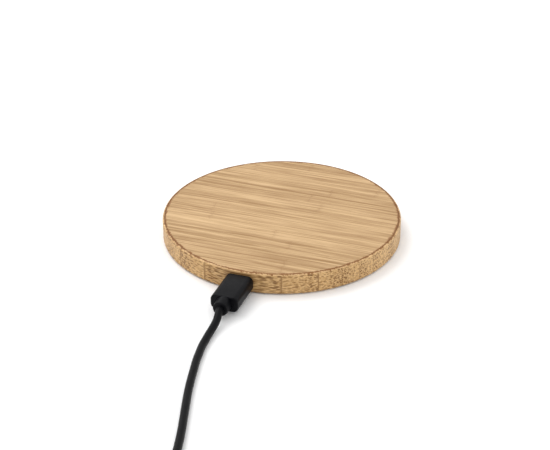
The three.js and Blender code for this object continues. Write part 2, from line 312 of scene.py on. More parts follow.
class RowOfCopies:
    """A node tree that repeats a piece's own mesh in a centred row along X."""

    def __init__(self) -> None:
        """Builds the tree once."""
        self.tree = bpy.data.node_groups.new("row_of_copies", "GeometryNodeTree")
        face = self.tree.interface
        face.new_socket("Geometry", in_out="INPUT", socket_type="NodeSocketGeometry")
        self.count = face.new_socket("Count", in_out="INPUT", socket_type="NodeSocketInt").identifier
        self.pitch = face.new_socket("Pitch", in_out="INPUT", socket_type="NodeSocketFloat").identifier
        self.finish = face.new_socket(
            "Finish", in_out="INPUT", socket_type="NodeSocketMaterial"
        ).identifier
        face.new_socket("Geometry", in_out="OUTPUT", socket_type="NodeSocketGeometry")
        graph = Graph(self.tree)
        given = graph.node("NodeGroupInput")
        gaps = graph.math("SUBTRACT", given.outputs["Count"], 1.0)
        first = graph.math("MULTIPLY", graph.math("MULTIPLY", gaps, given.outputs["Pitch"]), -0.5)
        line = graph.node(
            "GeometryNodeMeshLine",
            inputs={
                "Count": given.outputs["Count"],
                "Start Location": graph.combine(first, 0.0, 0.0),
                "Offset": graph.combine(given.outputs["Pitch"], 0.0, 0.0),
            },
        )
        copies = graph.node(
            "GeometryNodeInstanceOnPoints",
            inputs={"Points": line.outputs["Mesh"], "Instance": given.outputs["Geometry"]},
        )
        real = graph.node(
            "GeometryNodeRealizeInstances", inputs={"Geometry": copies.outputs["Instances"]}
        )
        coated = graph.node(
            "GeometryNodeSetMaterial",
            inputs={"Geometry": real.outputs["Geometry"], "Material": given.outputs["Finish"]},
        )
        graph.node("NodeGroupOutput", inputs={"Geometry": coated.outputs["Geometry"]})

    def lay(
        self, one: Solid, name: str, count: int, pitch: float, material: bpy.types.Material, at: Point
    ) -> bpy.types.Object:
        """Lays out a row.

        Args:
            one: the shape that repeats, about its own origin.
            name: the row's name.
            count: how many there are.
            pitch: the distance between two, in millimetres.
            material: their finish.
            at: the middle of the row, in millimetres.

        Returns:
            The row as one plain mesh.
        """
        row = one.to_object(name, material)
        repeat = row.modifiers.new("row", "NODES")
        repeat.node_group = self.tree
        repeat[self.count] = count
        repeat[self.pitch] = pitch * MM
        repeat[self.finish] = material
        baked(row)
        row.data.transform(Matrix.Translation(Vector(at) * MM))
        finish_mesh(row.data)
        return row


class FlatSpiral:
    """A node tree that winds a round wire into a flat spiral."""

    def __init__(self) -> None:
        """Builds the tree once."""
        self.tree = bpy.data.node_groups.new("flat_spiral", "GeometryNodeTree")
        face = self.tree.interface
        self.ids = {
            name: face.new_socket(name, in_out="INPUT", socket_type="NodeSocketFloat").identifier
            for name in ("Turns", "Inner Radius", "Outer Radius", "Wire Radius", "Height")
        }
        self.finish = face.new_socket(
            "Finish", in_out="INPUT", socket_type="NodeSocketMaterial"
        ).identifier
        face.new_socket("Geometry", in_out="OUTPUT", socket_type="NodeSocketGeometry")
        graph = Graph(self.tree)
        given = graph.node("NodeGroupInput").outputs
        spiral = graph.node(
            "GeometryNodeCurveSpiral",
            inputs={
                "Resolution": 72,
                "Rotations": given["Turns"],
                "Start Radius": given["Inner Radius"],
                "End Radius": given["Outer Radius"],
                "Height": 0.0,
            },
        )
        section = graph.node(
            "GeometryNodeCurvePrimitiveCircle", inputs={"Resolution": 10, "Radius": given["Wire Radius"]}
        )
        wire = graph.node(
            "GeometryNodeCurveToMesh",
            inputs={
                "Curve": spiral.outputs["Curve"],
                "Profile Curve": section.outputs["Curve"],
                "Fill Caps": True,
            },
        )
        placed = graph.node(
            "GeometryNodeTransform",
            inputs={
                "Geometry": wire.outputs["Mesh"],
                "Translation": graph.combine(0.0, 0.0, given["Height"]),
            },
        )
        real = graph.node(
            "GeometryNodeRealizeInstances", inputs={"Geometry": placed.outputs["Geometry"]}
        )
        coated = graph.node(
            "GeometryNodeSetMaterial",
            inputs={"Geometry": real.outputs["Geometry"], "Material": given["Finish"]},
        )
        graph.node("NodeGroupOutput", inputs={"Geometry": coated.outputs["Geometry"]})

    def wind(self, name: str, sizes: dict[str, float], material: bpy.types.Material) -> bpy.types.Object:
        """Winds one spiral.

        Args:
            name: the piece's name.
            sizes: a value for each of the tree's named sizes; lengths are in metres.
            material: the wire's finish.

        Returns:
            The spiral as one plain mesh.
        """
        coil = bpy.data.objects.new(name, bpy.data.meshes.new(name))
        bpy.context.scene.collection.objects.link(coil)
        wound = coil.modifiers.new("wound", "NODES")
        wound.node_group = self.tree
        for key, value in sizes.items():
            wound[self.ids[key]] = value
        wound[self.finish] = material
        baked(coil)
        finish_mesh(coil.data)
        return coil


# ---- shader graphs -----------------------------------------------------------------------------


class Graph:
    """A node tree under construction."""

    def __init__(self, tree: bpy.types.NodeTree) -> None:
        """Works on a tree, which starts empty."""
        self.tree = tree
        tree.nodes.clear()

    def feed(self, socket: bpy.types.NodeSocket, value: Input) -> None:
        """Links a socket to another, or sets its own value."""
        if isinstance(value, bpy.types.NodeSocket):
            self.tree.links.new(value, socket)
        else:
            socket.default_value = value

    def node(
        self, kind: str, inputs: dict[str | int, Input] | None = None, **settings: object
    ) -> bpy.types.Node:
        """Adds a node.

        Args:
            kind: its type.
            inputs: its inputs' values, by name or by number.
            settings: its own settings.

        Returns:
            The node.
        """
        made = self.tree.nodes.new(kind)
        for key, value in settings.items():
            setattr(made, key, value)
        for key, value in (inputs or {}).items():
            self.feed(made.inputs[key], value)
        return made

    def math(self, operation: str, *values: Input, clamp: bool = False) -> bpy.types.NodeSocket:
        """A sum of one to three numbers."""
        numbered = dict(enumerate(values))
        return self.node("ShaderNodeMath", numbered, operation=operation, use_clamp=clamp).outputs[0]

    def combine(self, x: Input, y: Input, z: Input) -> bpy.types.NodeSocket:
        """A vector of three numbers."""
        return self.node("ShaderNodeCombineXYZ", {0: x, 1: y, 2: z}).outputs[0]

    def split(self, vector: Input) -> tuple[bpy.types.NodeSocket, ...]:
        """A vector's three numbers."""
        return tuple(self.node("ShaderNodeSeparateXYZ", {0: vector}).outputs)

    def scaled(self, vector: Input, by: Point) -> bpy.types.NodeSocket:
        """A vector multiplied along each axis."""
        return self.node("ShaderNodeVectorMath", {0: vector, 1: by}, operation="MULTIPLY").outputs[0]

    def step(
        self, value: Input, low: float, high: float, start: float = 0, end: float = 1
    ) -> bpy.types.NodeSocket:
        """A smooth step from start, at low, to end, at high."""
        given = {"Value": value, "From Min": low, "From Max": high, "To Min": start, "To Max": end}
        return self.node("ShaderNodeMapRange", given, interpolation_type="SMOOTHSTEP").outputs[0]

    def between(self, factor: Input, a: Input, b: Input) -> bpy.types.NodeSocket:
        """The colour a given part of the way from one to another."""
        made = self.node("ShaderNodeMix", data_type="RGBA")
        for key, value in ((0, factor), (6, a), (7, b)):
            self.feed(made.inputs[key], value)
        return made.outputs[2]

    def noise(
        self, vector: Input, scale: float, detail: float = 2, roughness: float = 0.5
    ) -> bpy.types.NodeSocket:
        """Cloudy noise from 0 to 1."""
        given = {"Vector": vector, "Scale": scale, "Detail": detail, "Roughness": roughness}
        return self.node("ShaderNodeTexNoise", given).outputs[0]


class SurfaceEffect:
    """A shader node group, built once and placed in each material with its own values."""

    name = ""
    inputs: dict[str, tuple[str, object]] = {}
    outputs: dict[str, str] = {}
    _built: dict[str, bpy.types.NodeTree] = {}

    def wire(self, graph: Graph, given: bpy.types.NodeOutputs) -> dict[str, bpy.types.NodeSocket]:
        """Builds the effect's nodes and returns what feeds each output."""
        raise NotImplementedError

    def tree(self) -> bpy.types.NodeTree:
        """The group's node tree, made the first time that it is asked for."""
        if self.name not in self._built:
            tree = bpy.data.node_groups.new(self.name, "ShaderNodeTree")
            graph = Graph(tree)
            for key, (kind, default) in self.inputs.items():
                socket = tree.interface.new_socket(key, in_out="INPUT", socket_type="NodeSocket" + kind)
                if default is not None:
                    socket.default_value = default
            for key, kind in self.outputs.items():
                tree.interface.new_socket(key, in_out="OUTPUT", socket_type="NodeSocket" + kind)
            fed = self.wire(graph, graph.node("NodeGroupInput").outputs)
            graph.node("NodeGroupOutput", dict(fed))
            self._built[self.name] = tree
        return self._built[self.name]

    def place(self, graph: Graph, values: dict[str, Input]) -> bpy.types.NodeOutputs:
        """Puts the group in a material's graph and returns its outputs."""
        made = graph.node("ShaderNodeGroup", node_tree=self.tree())
        for key, value in values.items():
            graph.feed(made.inputs[key], value)
        return made.outputs


class BambooTimber(SurfaceEffect):
    """Side-pressed bamboo: strips across Y, fibres along X and the dots of the bundles in them."""

    name = "bamboo_timber"
    inputs = {
        "Vector": ("Vector", None),
        "Pale": ("Color", (1, 1, 1, 1)),
        "Warm": ("Color", (1, 1, 1, 1)),
        "Bundle": ("Color", (0, 0, 0, 1)),
        "Strip Width": ("Float", 6.3),
        "Strip Offset": ("Float", 0.0),
        "Strip Contrast": ("Float", 0.5),
        "Fibres": ("Float", 1.5),
        "Streaks": ("Float", 1.5),
        "Bundles": ("Float", 0.6),
        "Bundle Size": ("Float", 1.0),
        "Bundle Length": ("Float", 9.0),
        "Joints": ("Float", 0.5),
        "Knuckles": ("Float", 0.3),
    }
    outputs = {"Color": "Color", "Height": "Float", "Roughness": "Float"}

    def wire(self, graph: Graph, given: bpy.types.NodeOutputs) -> dict[str, bpy.types.NodeSocket]:
        """Builds the timber's strips, fibres, bundles, glue lines and knuckles."""
        g, m = graph, graph.math
        place = g.scaled(given["Vector"], (1 / MM,) * 3)
        x, y, z = g.split(place)
        strips = self.strips(g, y, given)
        fibre = g.noise(g.scaled(place, (0.05, 2.6, 2.6)), 1.0, 4, 0.65)
        streak = g.noise(g.scaled(place, (0.014, 0.75, 0.75)), 1.0, 3, 0.6)
        fine = self.bundles(g, (x, y, z), given, strips["dice"][0], 0.62, (0.2, 0.5))
        fine = m("MULTIPLY", fine, g.step(strips["skin"], 0.1, 0.9, 0.1, 0.75))
        coarse = self.bundles(g, (x, y, z), given, strips["dice"][1], 0.95, (0.2, 0.46))
        coarse = m("MULTIPLY", coarse, g.step(strips["skin"], 0.1, 0.9, 0.6, 1))
        dots = m("MULTIPLY", m("MAXIMUM", fine, coarse), given["Bundles"], clamp=True)
        glue = m("MULTIPLY", strips["glue"], given["Joints"], clamp=True)
        knuckle = self.knuckle(g, x, streak, strips["dice"][1], given["Knuckles"])

        tone_strip = m("MULTIPLY", m("SUBTRACT", strips["dice"][0], 0.5), given["Strip Contrast"])
        tone_fibre = m("MULTIPLY", m("SUBTRACT", fibre, 0.5), given["Fibres"])
        tone_streak = m("MULTIPLY", m("SUBTRACT", streak, 0.5), given["Streaks"])
        tone = m("ADD", m("ADD", tone_strip, tone_fibre), m("ADD", tone_streak, 0.5), clamp=True)
        wood = g.between(tone, given["Pale"], given["Warm"])
        marked = m("MAXIMUM", m("MAXIMUM", dots, glue), knuckle)
        colour = g.between(marked, wood, given["Bundle"])
        sunk = m("SUBTRACT", m("MULTIPLY", fibre, 0.35), m("MULTIPLY", m("MAXIMUM", dots, glue), 0.8))
        return {"Color": colour, "Height": sunk, "Roughness": m("MULTIPLY_ADD", fibre, 0.2, -0.1)}

    @staticmethod
    def strips(g: Graph, y: Input, given: bpy.types.NodeOutputs) -> dict[str, object]:
        """The strips across Y.

        Args:
            g: the group's graph.
            y: the distance across the strips.
            given: the group's inputs.

        Returns:
            Each strip's own random numbers, the share of the way to its outer skin, and its glue
            lines.
        """
        m = g.math
        across = m("ADD", m("DIVIDE", y, given["Strip Width"]), given["Strip Offset"])
        part = m("FRACT", across)
        number = {"W": m("FLOOR", across)}
        rolled = g.node("ShaderNodeTexWhiteNoise", number, noise_dimensions="1D").outputs["Color"]
        dice = g.split(rolled)
        edge = m("MULTIPLY", m("MINIMUM", part, m("SUBTRACT", 1.0, part)), given["Strip Width"])
        strong = m("MULTIPLY_ADD", dice[1], 0.7, 0.3)
        return {
            "dice": dice,
            "skin": m("ABSOLUTE", m("SUBTRACT", part, m("GREATER_THAN", dice[2], 0.6))),
            "glue": m("MULTIPLY", g.step(edge, 0.05, 0.24, 1, 0), strong),
        }

    @staticmethod
    def bundles(
        g: Graph, place: Sequence[Input], given: bpy.types.NodeOutputs, roll: Input, pitch: float,
        edge: tuple[float, float],
    ) -> bpy.types.NodeSocket:
        """The bundles of one size, which run along X and wander a little.

        Args:
            g: the group's graph.
            place: the three coordinates, in millimetres.
            given: the group's inputs.
            roll: the strip's own random number.
            pitch: the bundles' distance apart, in millimetres.
            edge: the part of the pitch at which a bundle starts to fade and at which it ends.

        Returns:
            A mask that is 1 in the middle of a bundle.
        """
        m = g.math
        x, y, z = place
        size = m("MULTIPLY", given["Bundle Size"], pitch)
        slid = m("ADD", x, m("MULTIPLY", roll, 83.0))
        wander = m("MULTIPLY", m("SINE", m("MULTIPLY_ADD", slid, 0.11, m("MULTIPLY", z, 0.5))), 0.25)
        section = (m("DIVIDE", m("ADD", y, wander), size), m("DIVIDE", m("ADD", z, roll), size))
        cells = g.node("ShaderNodeTexVoronoi", {"Vector": g.combine(*section, 0.0)}, voronoi_dimensions="2D")
        g.feed(cells.inputs["Scale"], 1.0)
        run = m("DIVIDE", slid, m("MULTIPLY", given["Bundle Length"], pitch))
        showing = g.noise(g.combine(run, m("MULTIPLY", roll, 7.0), section[1]), 1.3, 1)
        mask = g.step(cells.outputs["Distance"], *edge, 1, 0)
        return m("MULTIPLY", mask, g.step(showing, 0.36, 0.5, 0.3, 1))

    @staticmethod
    def knuckle(g: Graph, x: Input, streak: Input, roll: Input, strength: Input) -> bpy.types.NodeSocket:
        """The band where a culm's joint crosses a strip."""
        m = g.math
        centre = m("MULTIPLY_ADD", roll, 120.0, -60.0)
        off = m("ABSOLUTE", m("SUBTRACT", m("MULTIPLY_ADD", streak, 5.0, x), centre))
        halo = g.step(off, 0.2, 2.4, 0.4, 0)
        line = g.step(off, 0.05, 0.4, 1, 0)
        return m("MULTIPLY", m("MAXIMUM", halo, line), strength)


class TurnedJoint(SurfaceEffect):
    """The joint round the pad's axis: scorched, torn fibres in it and a painted highlight on the rounded edge
    outside it.
    """

    name = "turned_joint"
    inputs = {
        "Vector": ("Vector", None),
        "Radius": ("Float", 45.1),
        "Width": ("Float", 0.3),
        "Top": ("Float", 8.5),
    }
    outputs = {"Scorch": "Float", "Painted Highlight": "Float"}

    def wire(self, graph: Graph, given: bpy.types.NodeOutputs) -> dict[str, bpy.types.NodeSocket]:
        """Builds both bands from the distance to the joint."""
        g, m = graph, graph.math
        place = g.scaled(given["Vector"], (1 / MM,) * 3)
        x, y, z = g.split(place)
        radius = m("SQRT", m("ADD", m("MULTIPLY", x, x), m("MULTIPLY", y, y)))
        broad = m("MULTIPLY_ADD", g.noise(place, 0.35, 2, 0.5), 2.4, -0.5)
        torn = m("MULTIPLY_ADD", g.noise(place, 1.4, 3, 0.7), 3.0, -1.35)
        reach = m("MULTIPLY", given["Width"], m("ADD", broad, torn))
        off = m("SUBTRACT", radius, given["Radius"])
        near = m("DIVIDE", m("SUBTRACT", reach, m("ABSOLUTE", off)), given["Width"])
        down = m("SUBTRACT", given["Top"], z)
        # Painted highlight: a lighter band where the rim rounds over, standing in for the light that the rounded
        # edge catches.
        eased = m("MULTIPLY", g.step(off, 0.2, 0.4), g.step(down, 0.15, 0.5, 1, 0))
        scorched = m("MULTIPLY", g.step(near, -0.3, 0.5), g.step(down, 0.3, 0.7, 1, 0))
        return {"Scorch": scorched, "Painted Highlight": eased}


class MouldGrain(SurfaceEffect):
    """The fine, even grain of a moulded, coated or sintered surface, with a little handling wear."""

    name = "mould_grain"
    inputs = {
        "Vector": ("Vector", None),
        "Base": ("Color", (0, 0, 0, 1)),
        "Worn": ("Color", (0, 0, 0, 1)),
        "Grain": ("Float", 0.1),
        "Roughness": ("Float", 0.5),
        "Spread": ("Float", 0.1),
    }
    outputs = {"Color": "Color", "Height": "Float", "Roughness": "Float"}

    def wire(self, graph: Graph, given: bpy.types.NodeOutputs) -> dict[str, bpy.types.NodeSocket]:
        """Builds the grain from fine noise and the wear from broad noise."""
        g, m = graph, graph.math
        place = g.scaled(given["Vector"], (1 / MM,) * 3)
        grain_place = g.node(
            "ShaderNodeVectorMath", {0: place, 3: m("DIVIDE", 1.0, given["Grain"])}, operation="SCALE"
        ).outputs[0]
        grain = g.noise(grain_place, 1.0, 3, 0.6)
        rubbed = g.step(g.noise(place, 0.22, 4, 0.6), 0.42, 0.72)
        wear_and_highlight = m("MULTIPLY", rubbed, m("MULTIPLY_ADD", grain, 0.6, 0.4))
        colour = g.between(wear_and_highlight, given["Base"], given["Worn"])
        uneven = m("MULTIPLY", m("SUBTRACT", g.noise(place, 0.6, 3), 0.5), given["Spread"])
        rough = m("ADD", given["Roughness"], m("MULTIPLY_ADD", uneven, 2.0, m("MULTIPLY", rubbed, -0.04)))
        return {"Color": colour, "Height": grain, "Roughness": rough}


class DrawnMetal(SurfaceEffect):
    """Plated sheet with the faint lines of drawing along one axis and a few scratches."""

    name = "drawn_metal"
    inputs = {
        "Vector": ("Vector", None),
        "Bright": ("Color", (0.7, 0.7, 0.7, 1)),
        "Dull": ("Color", (0.4, 0.4, 0.4, 1)),
        "Roughness": ("Float", 0.25),
    }
    outputs = {"Color": "Color", "Height": "Float", "Roughness": "Float"}

    def wire(self, graph: Graph, given: bpy.types.NodeOutputs) -> dict[str, bpy.types.NodeSocket]:
        """Builds the lines from noise stretched along both level axes."""
        g, m = graph, graph.math
        place = g.scaled(given["Vector"], (1 / MM,) * 3)
        lines = g.noise(g.scaled(place, (9.0, 0.5, 9.0)), 1.0, 3, 0.6)
        crossing = g.noise(g.scaled(place, (0.6, 7.0, 7.0)), 1.0, 3, 0.6)
        smear = g.noise(place, 0.5, 3)
        scratch = g.step(m("MULTIPLY", lines, crossing), 0.33, 0.42)
        dulled = m("MULTIPLY_ADD", scratch, 0.5, m("MULTIPLY", smear, 0.35))
        colour = g.between(dulled, given["Bright"], given["Dull"])
        rough = m("ADD", given["Roughness"], m("MULTIPLY_ADD", smear, 0.16, m("MULTIPLY", scratch, 0.15)))
        return {"Color": colour, "Height": m("MULTIPLY_ADD", lines, 0.5, scratch), "Roughness": rough}


class WovenTape(SurfaceEffect):
    """A plain weave of warp and weft, on a tape's own UV map."""

    name = "woven_tape"
    inputs = {
        "Vector": ("Vector", None),
        "Thread": ("Color", (0.03, 0.03, 0.03, 1)),
        "Shade": ("Color", (0.005, 0.005, 0.005, 1)),
        "Pitch": ("Float", 0.45),
    }
    outputs = {"Color": "Color", "Height": "Float"}

    def wire(self, graph: Graph, given: bpy.types.NodeOutputs) -> dict[str, bpy.types.NodeSocket]:
        """Builds the weave from two crossed waves that swap places every other thread."""
        g, m = graph, graph.math
        u, v, _ = g.split(given["Vector"])
        turns = [m("MULTIPLY", m("DIVIDE", c, given["Pitch"]), math.pi) for c in (u, v)]
        warp, weft = (m("ABSOLUTE", m("SINE", t)) for t in turns)
        odd = m("GREATER_THAN", m("MULTIPLY", m("SINE", turns[0]), m("SINE", turns[1])), 0.0)
        up = m("ADD", m("MULTIPLY", warp, odd), m("MULTIPLY", weft, m("SUBTRACT", 1.0, odd)))
        fuzz = g.noise(given["Vector"], 6.0, 3)
        tone = m("MULTIPLY", up, m("MULTIPLY_ADD", fuzz, 0.5, 0.6), clamp=True)
        return {"Color": g.between(tone, given["Shade"], given["Thread"]), "Height": up}


# ---- finishes ----------------------------------------------------------------------------------


class Coordinates(Enum):
    """What a finish's pattern follows."""

    OBJECT = "Object"
    UV = "UV"


@dataclass(frozen=True)
class Finish:
    """What every finish shares: how its material starts and how its bump is wired."""

    name: str

    def material(self) -> bpy.types.Material:
        """The finish's material, made the first time that it is asked for."""
        found = bpy.data.materials.get(self.name)
        if found:
            return found
        made = bpy.data.materials.new(self.name)
        made.use_nodes = True
        graph = Graph(made.node_tree)
        shader = graph.node("ShaderNodeBsdfPrincipled")
        out = graph.node("ShaderNodeOutputMaterial", {"Surface": shader.outputs[0]})
        out.is_active_output = True
        self.wire(graph, shader)
        return made

    def wire(self, graph: Graph, shader: bpy.types.Node) -> None:
        """Feeds the finish's shader."""
        raise NotImplementedError

    @staticmethod
    def follow(graph: Graph, what: Coordinates) -> bpy.types.NodeSocket:
        """The coordinates that a pattern follows."""
        return graph.node("ShaderNodeTexCoord").outputs[what.value]

    @staticmethod
    def bump(graph: Graph, shader: bpy.types.Node, height: Input, depth: float, strength: float = 1) -> None:
        """Raises a surface.

        Args:
            graph: the material's graph.
            shader: the shader whose normal it feeds.
            height: the pattern, from 0 to 1.
            depth: how far it stands up, in millimetres.
            strength: how strongly it shades.
        """
        given = {"Height": height, "Distance": depth * MM, "Strength": strength}
        graph.feed(shader.inputs["Normal"], graph.node("ShaderNodeBump", given).outputs[0])


@dataclass(frozen=True)
class BambooFinish(Finish):
    """Sanded and lightly oiled bamboo, scorched along the joint between cup and lid, with a painted highlight on the
    rounded rim.
    """

    pale: Point
    warm: Point
    bundle: Point
    scorch: Point = (0.24, 0.105, 0.03)
    # A pale colour laid on the rounded rim edge as a painted highlight.
    painted_highlight: Point = (0.74, 0.49, 0.25)
    joint_radius: float = 45.1
    joint_width: float = 0.6
    top: float = 8.5
    strip_width: float = 6.3
    strip_offset: float = 0.0
    strip_contrast: float = 0.5
    fibres: float = 1.5
    streaks: float = 1.5
    bundles: float = 0.7
    bundle_size: float = 1.0
    bundle_length: float = 9.0
    joints: float = 0.6
    knuckles: float = 0.3
    roughness: float = 0.5

    def wire(self, graph: Graph, shader: bpy.types.Node) -> None:
        """Feeds the shader from the timber and the joint."""
        place = self.follow(graph, Coordinates.OBJECT)
        timber = BambooTimber().place(
            graph,
            {
                "Vector": place,
                "Pale": (*self.pale, 1),
                "Warm": (*self.warm, 1),
                "Bundle": (*self.bundle, 1),
                "Strip Width": self.strip_width,
                "Strip Offset": self.strip_offset,
                "Strip Contrast": self.strip_contrast,
                "Fibres": self.fibres,
                "Streaks": self.streaks,
                "Bundles": self.bundles,
                "Bundle Size": self.bundle_size,
                "Bundle Length": self.bundle_length,
                "Joints": self.joints,
                "Knuckles": self.knuckles,
            },
        )
        edge = {"Vector": place, "Radius": self.joint_radius, "Width": self.joint_width, "Top": self.top}
        joint = TurnedJoint().place(graph, edge)
        # Painted highlight: the rounded rim edge is tinted towards a pale colour in place of the light that it
        # catches.
        highlight_share = graph.math("MULTIPLY", joint["Painted Highlight"], 0.55)
        wear_and_highlight = graph.between(highlight_share, timber["Color"], (*self.painted_highlight, 1))
        colour = graph.between(joint["Scorch"], wear_and_highlight, (*self.scorch, 1))
        graph.feed(shader.inputs["Base Color"], colour)
        rough = graph.math("ADD", timber["Roughness"], self.roughness)
        graph.feed(shader.inputs["Roughness"], rough)
        shader.inputs["Specular IOR Level"].default_value = 0.3
        self.bump(graph, shader, timber["Height"], 0.05, 0.7)


@dataclass(frozen=True)
class GrainedFinish(Finish):
    """A moulded, coated or sintered surface."""

    base: Point
    wear_and_highlight: Point
    grain: float = 0.12
    roughness: float = 0.5
    spread: float = 0.1
    depth: float = 0.008
    coat: float = 0.0
    metallic: float = 0.0
    level: float = 0.5

    def wire(self, graph: Graph, shader: bpy.types.Node) -> None:
        """Feeds the shader from the mould's grain."""
        grain = MouldGrain().place(
            graph,
            {
                "Vector": self.follow(graph, Coordinates.OBJECT),
                "Base": (*self.base, 1),
                "Worn": (*self.wear_and_highlight, 1),
                "Grain": self.grain,
                "Roughness": self.roughness,
                "Spread": self.spread,
            },
        )
        graph.feed(shader.inputs["Base Color"], grain["Color"])
        graph.feed(shader.inputs["Roughness"], grain["Roughness"])
        shader.inputs["Metallic"].default_value = self.metallic
        shader.inputs["Coat Weight"].default_value = self.coat
        shader.inputs["Specular IOR Level"].default_value = self.level
        self.bump(graph, shader, grain["Height"], self.depth)


@dataclass(frozen=True)
class MetalFinish(Finish):
    """Plated metal."""

    bright: Point
    dull: Point
    roughness: float = 0.22

    def wire(self, graph: Graph, shader: bpy.types.Node) -> None:
        """Feeds the shader from the drawn metal."""
        metal = DrawnMetal().place(
            graph,
            {
                "Vector": self.follow(graph, Coordinates.OBJECT),
                "Bright": (*self.bright, 1),
                "Dull": (*self.dull, 1),
                "Roughness": self.roughness,
            },
        )
        graph.feed(shader.inputs["Base Color"], metal["Color"])
        graph.feed(shader.inputs["Roughness"], metal["Roughness"])
        shader.inputs["Metallic"].default_value = 1.0
        self.bump(graph, shader, metal["Height"], 0.004, 0.6)


@dataclass(frozen=True)
class TapeFinish(Finish):
    """Woven nylon tape."""

    thread: Point
    shade: Point
    pitch: float = 0.45

    def wire(self, graph: Graph, shader: bpy.types.Node) -> None:
        """Feeds the shader from the weave."""
        weave = WovenTape().place(
            graph,
            {
                "Vector": self.follow(graph, Coordinates.UV),
                "Thread": (*self.thread, 1),
                "Shade": (*self.shade, 1),
                "Pitch": self.pitch,
            },
        )
        graph.feed(shader.inputs["Base Color"], weave["Color"])
        shader.inputs["Roughness"].default_value = 0.8
        shader.inputs["Sheen Weight"].default_value = 0.2
        self.bump(graph, shader, weave["Height"], 0.08)


BAMBOO_CUP = BambooFinish(
    "turned_bamboo",
    pale=(0.70, 0.46, 0.215),
    warm=(0.44, 0.255, 0.095),
    bundle=(0.14, 0.056, 0.012),
    strip_offset=-0.09,
    fibres=3.0,
    bundles=0.9,
    joints=0.9,
)
BAMBOO_LID = BambooFinish(
    "sanded_bamboo",
    pale=(0.65, 0.44, 0.23),
    warm=(0.31, 0.175, 0.065),
    bundle=(0.25, 0.12, 0.04),
    strip_contrast=0.2,
    fibres=2.6,
    streaks=2.4,
    bundles=0.35,
    bundle_size=0.7,
    bundle_length=26.0,
    joints=0.3,
    knuckles=0.45,
)
PLUG_PLASTIC = GrainedFinish(
    "plug_plastic", (0.0022, 0.0022, 0.0032), (0.0035, 0.0035, 0.0048), 0.1, 0.42, level=0.09
)
JACKET = GrainedFinish(
    "moulded_jacket", (0.003, 0.003, 0.0038), (0.0045, 0.0045, 0.0055), 0.16, 0.45, level=0.09
)
RUBBER = GrainedFinish("foot_rubber", (0.02, 0.02, 0.021), (0.035, 0.034, 0.033), 0.2, 0.8, depth=0.02)
MOULDED_BLACK = GrainedFinish("moulded_black", (0.016, 0.016, 0.017), (0.024, 0.024, 0.025), 0.08, 0.5)
MOULDED_WHITE = GrainedFinish("moulded_white", (0.72, 0.72, 0.71), (0.66, 0.65, 0.62), 0.08, 0.42)
FOAM = GrainedFinish("closed_cell_foam", (0.03, 0.03, 0.031), (0.06, 0.06, 0.06), 0.35, 0.95, depth=0.08)
FERRITE = GrainedFinish(
    "sintered_ferrite", (0.045, 0.045, 0.048), (0.07, 0.068, 0.066), 0.15, 0.62, depth=0.02
)
FILM = GrainedFinish("adhesive_film", (0.75, 0.74, 0.69), (0.66, 0.64, 0.57), 0.5, 0.6)
SOLDER_MASK = GrainedFinish("solder_mask", (0.012, 0.11, 0.04), (0.02, 0.16, 0.06), 0.9, 0.3, coat=0.5)
CERAMIC = GrainedFinish("fired_ceramic", (0.36, 0.25, 0.15), (0.45, 0.33, 0.2), 0.1, 0.45)
ENAMELLED_WIRE = GrainedFinish(
    "enamelled_wire", (0.62, 0.26, 0.09), (0.42, 0.16, 0.05), 0.3, 0.3, coat=0.6, metallic=0.85
)
NICKEL = MetalFinish("plated_steel", (0.68, 0.68, 0.69), (0.42, 0.42, 0.43))
GOLD = MetalFinish("gold_contact", (0.86, 0.62, 0.26), (0.62, 0.42, 0.16), 0.2)
TAPE = TapeFinish("woven_nylon", (0.035, 0.035, 0.038), (0.006, 0.006, 0.007))


# ---- placing -----------------------------------------------------------------------------------


class Body(Enum):
    """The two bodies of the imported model."""

    PAD = "pad"
    CABLE = "cable"


def settle(
    piece: bpy.types.Object, body: Body, stands_for: Sequence[str] = ()
) -> bpy.types.Object:
    """Puts a finished piece on its body.

    Args:
        piece: the piece.
        body: the body that it moves with.
        stands_for: the CAD nodes that it replaces.

    Returns:
        The piece.
    """
    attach(piece, body.value)
    if stands_for:
        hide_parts(*stands_for)
    LOG.info("%s: %d faces on %s", piece.name, len(piece.data.polygons), body.value)
    return piece


@dataclass
class Span:
    """Where a CAD node lies, in millimetres."""

    node: str
    low: Vector = field(init=False)
    high: Vector = field(init=False)

    def __post_init__(self) -> None:
        """Reads the node's box."""
        self.low, self.high = (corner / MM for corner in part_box(self.node))

    @property
    def middle(self) -> Vector:
        """The box's middle."""
        return (self.low + self.high) / 2

    @property
    def size(self) -> Vector:
        """The box's sides."""
        return self.high - self.low


# ---- camera, light and floor -------------------------------------------------------------------


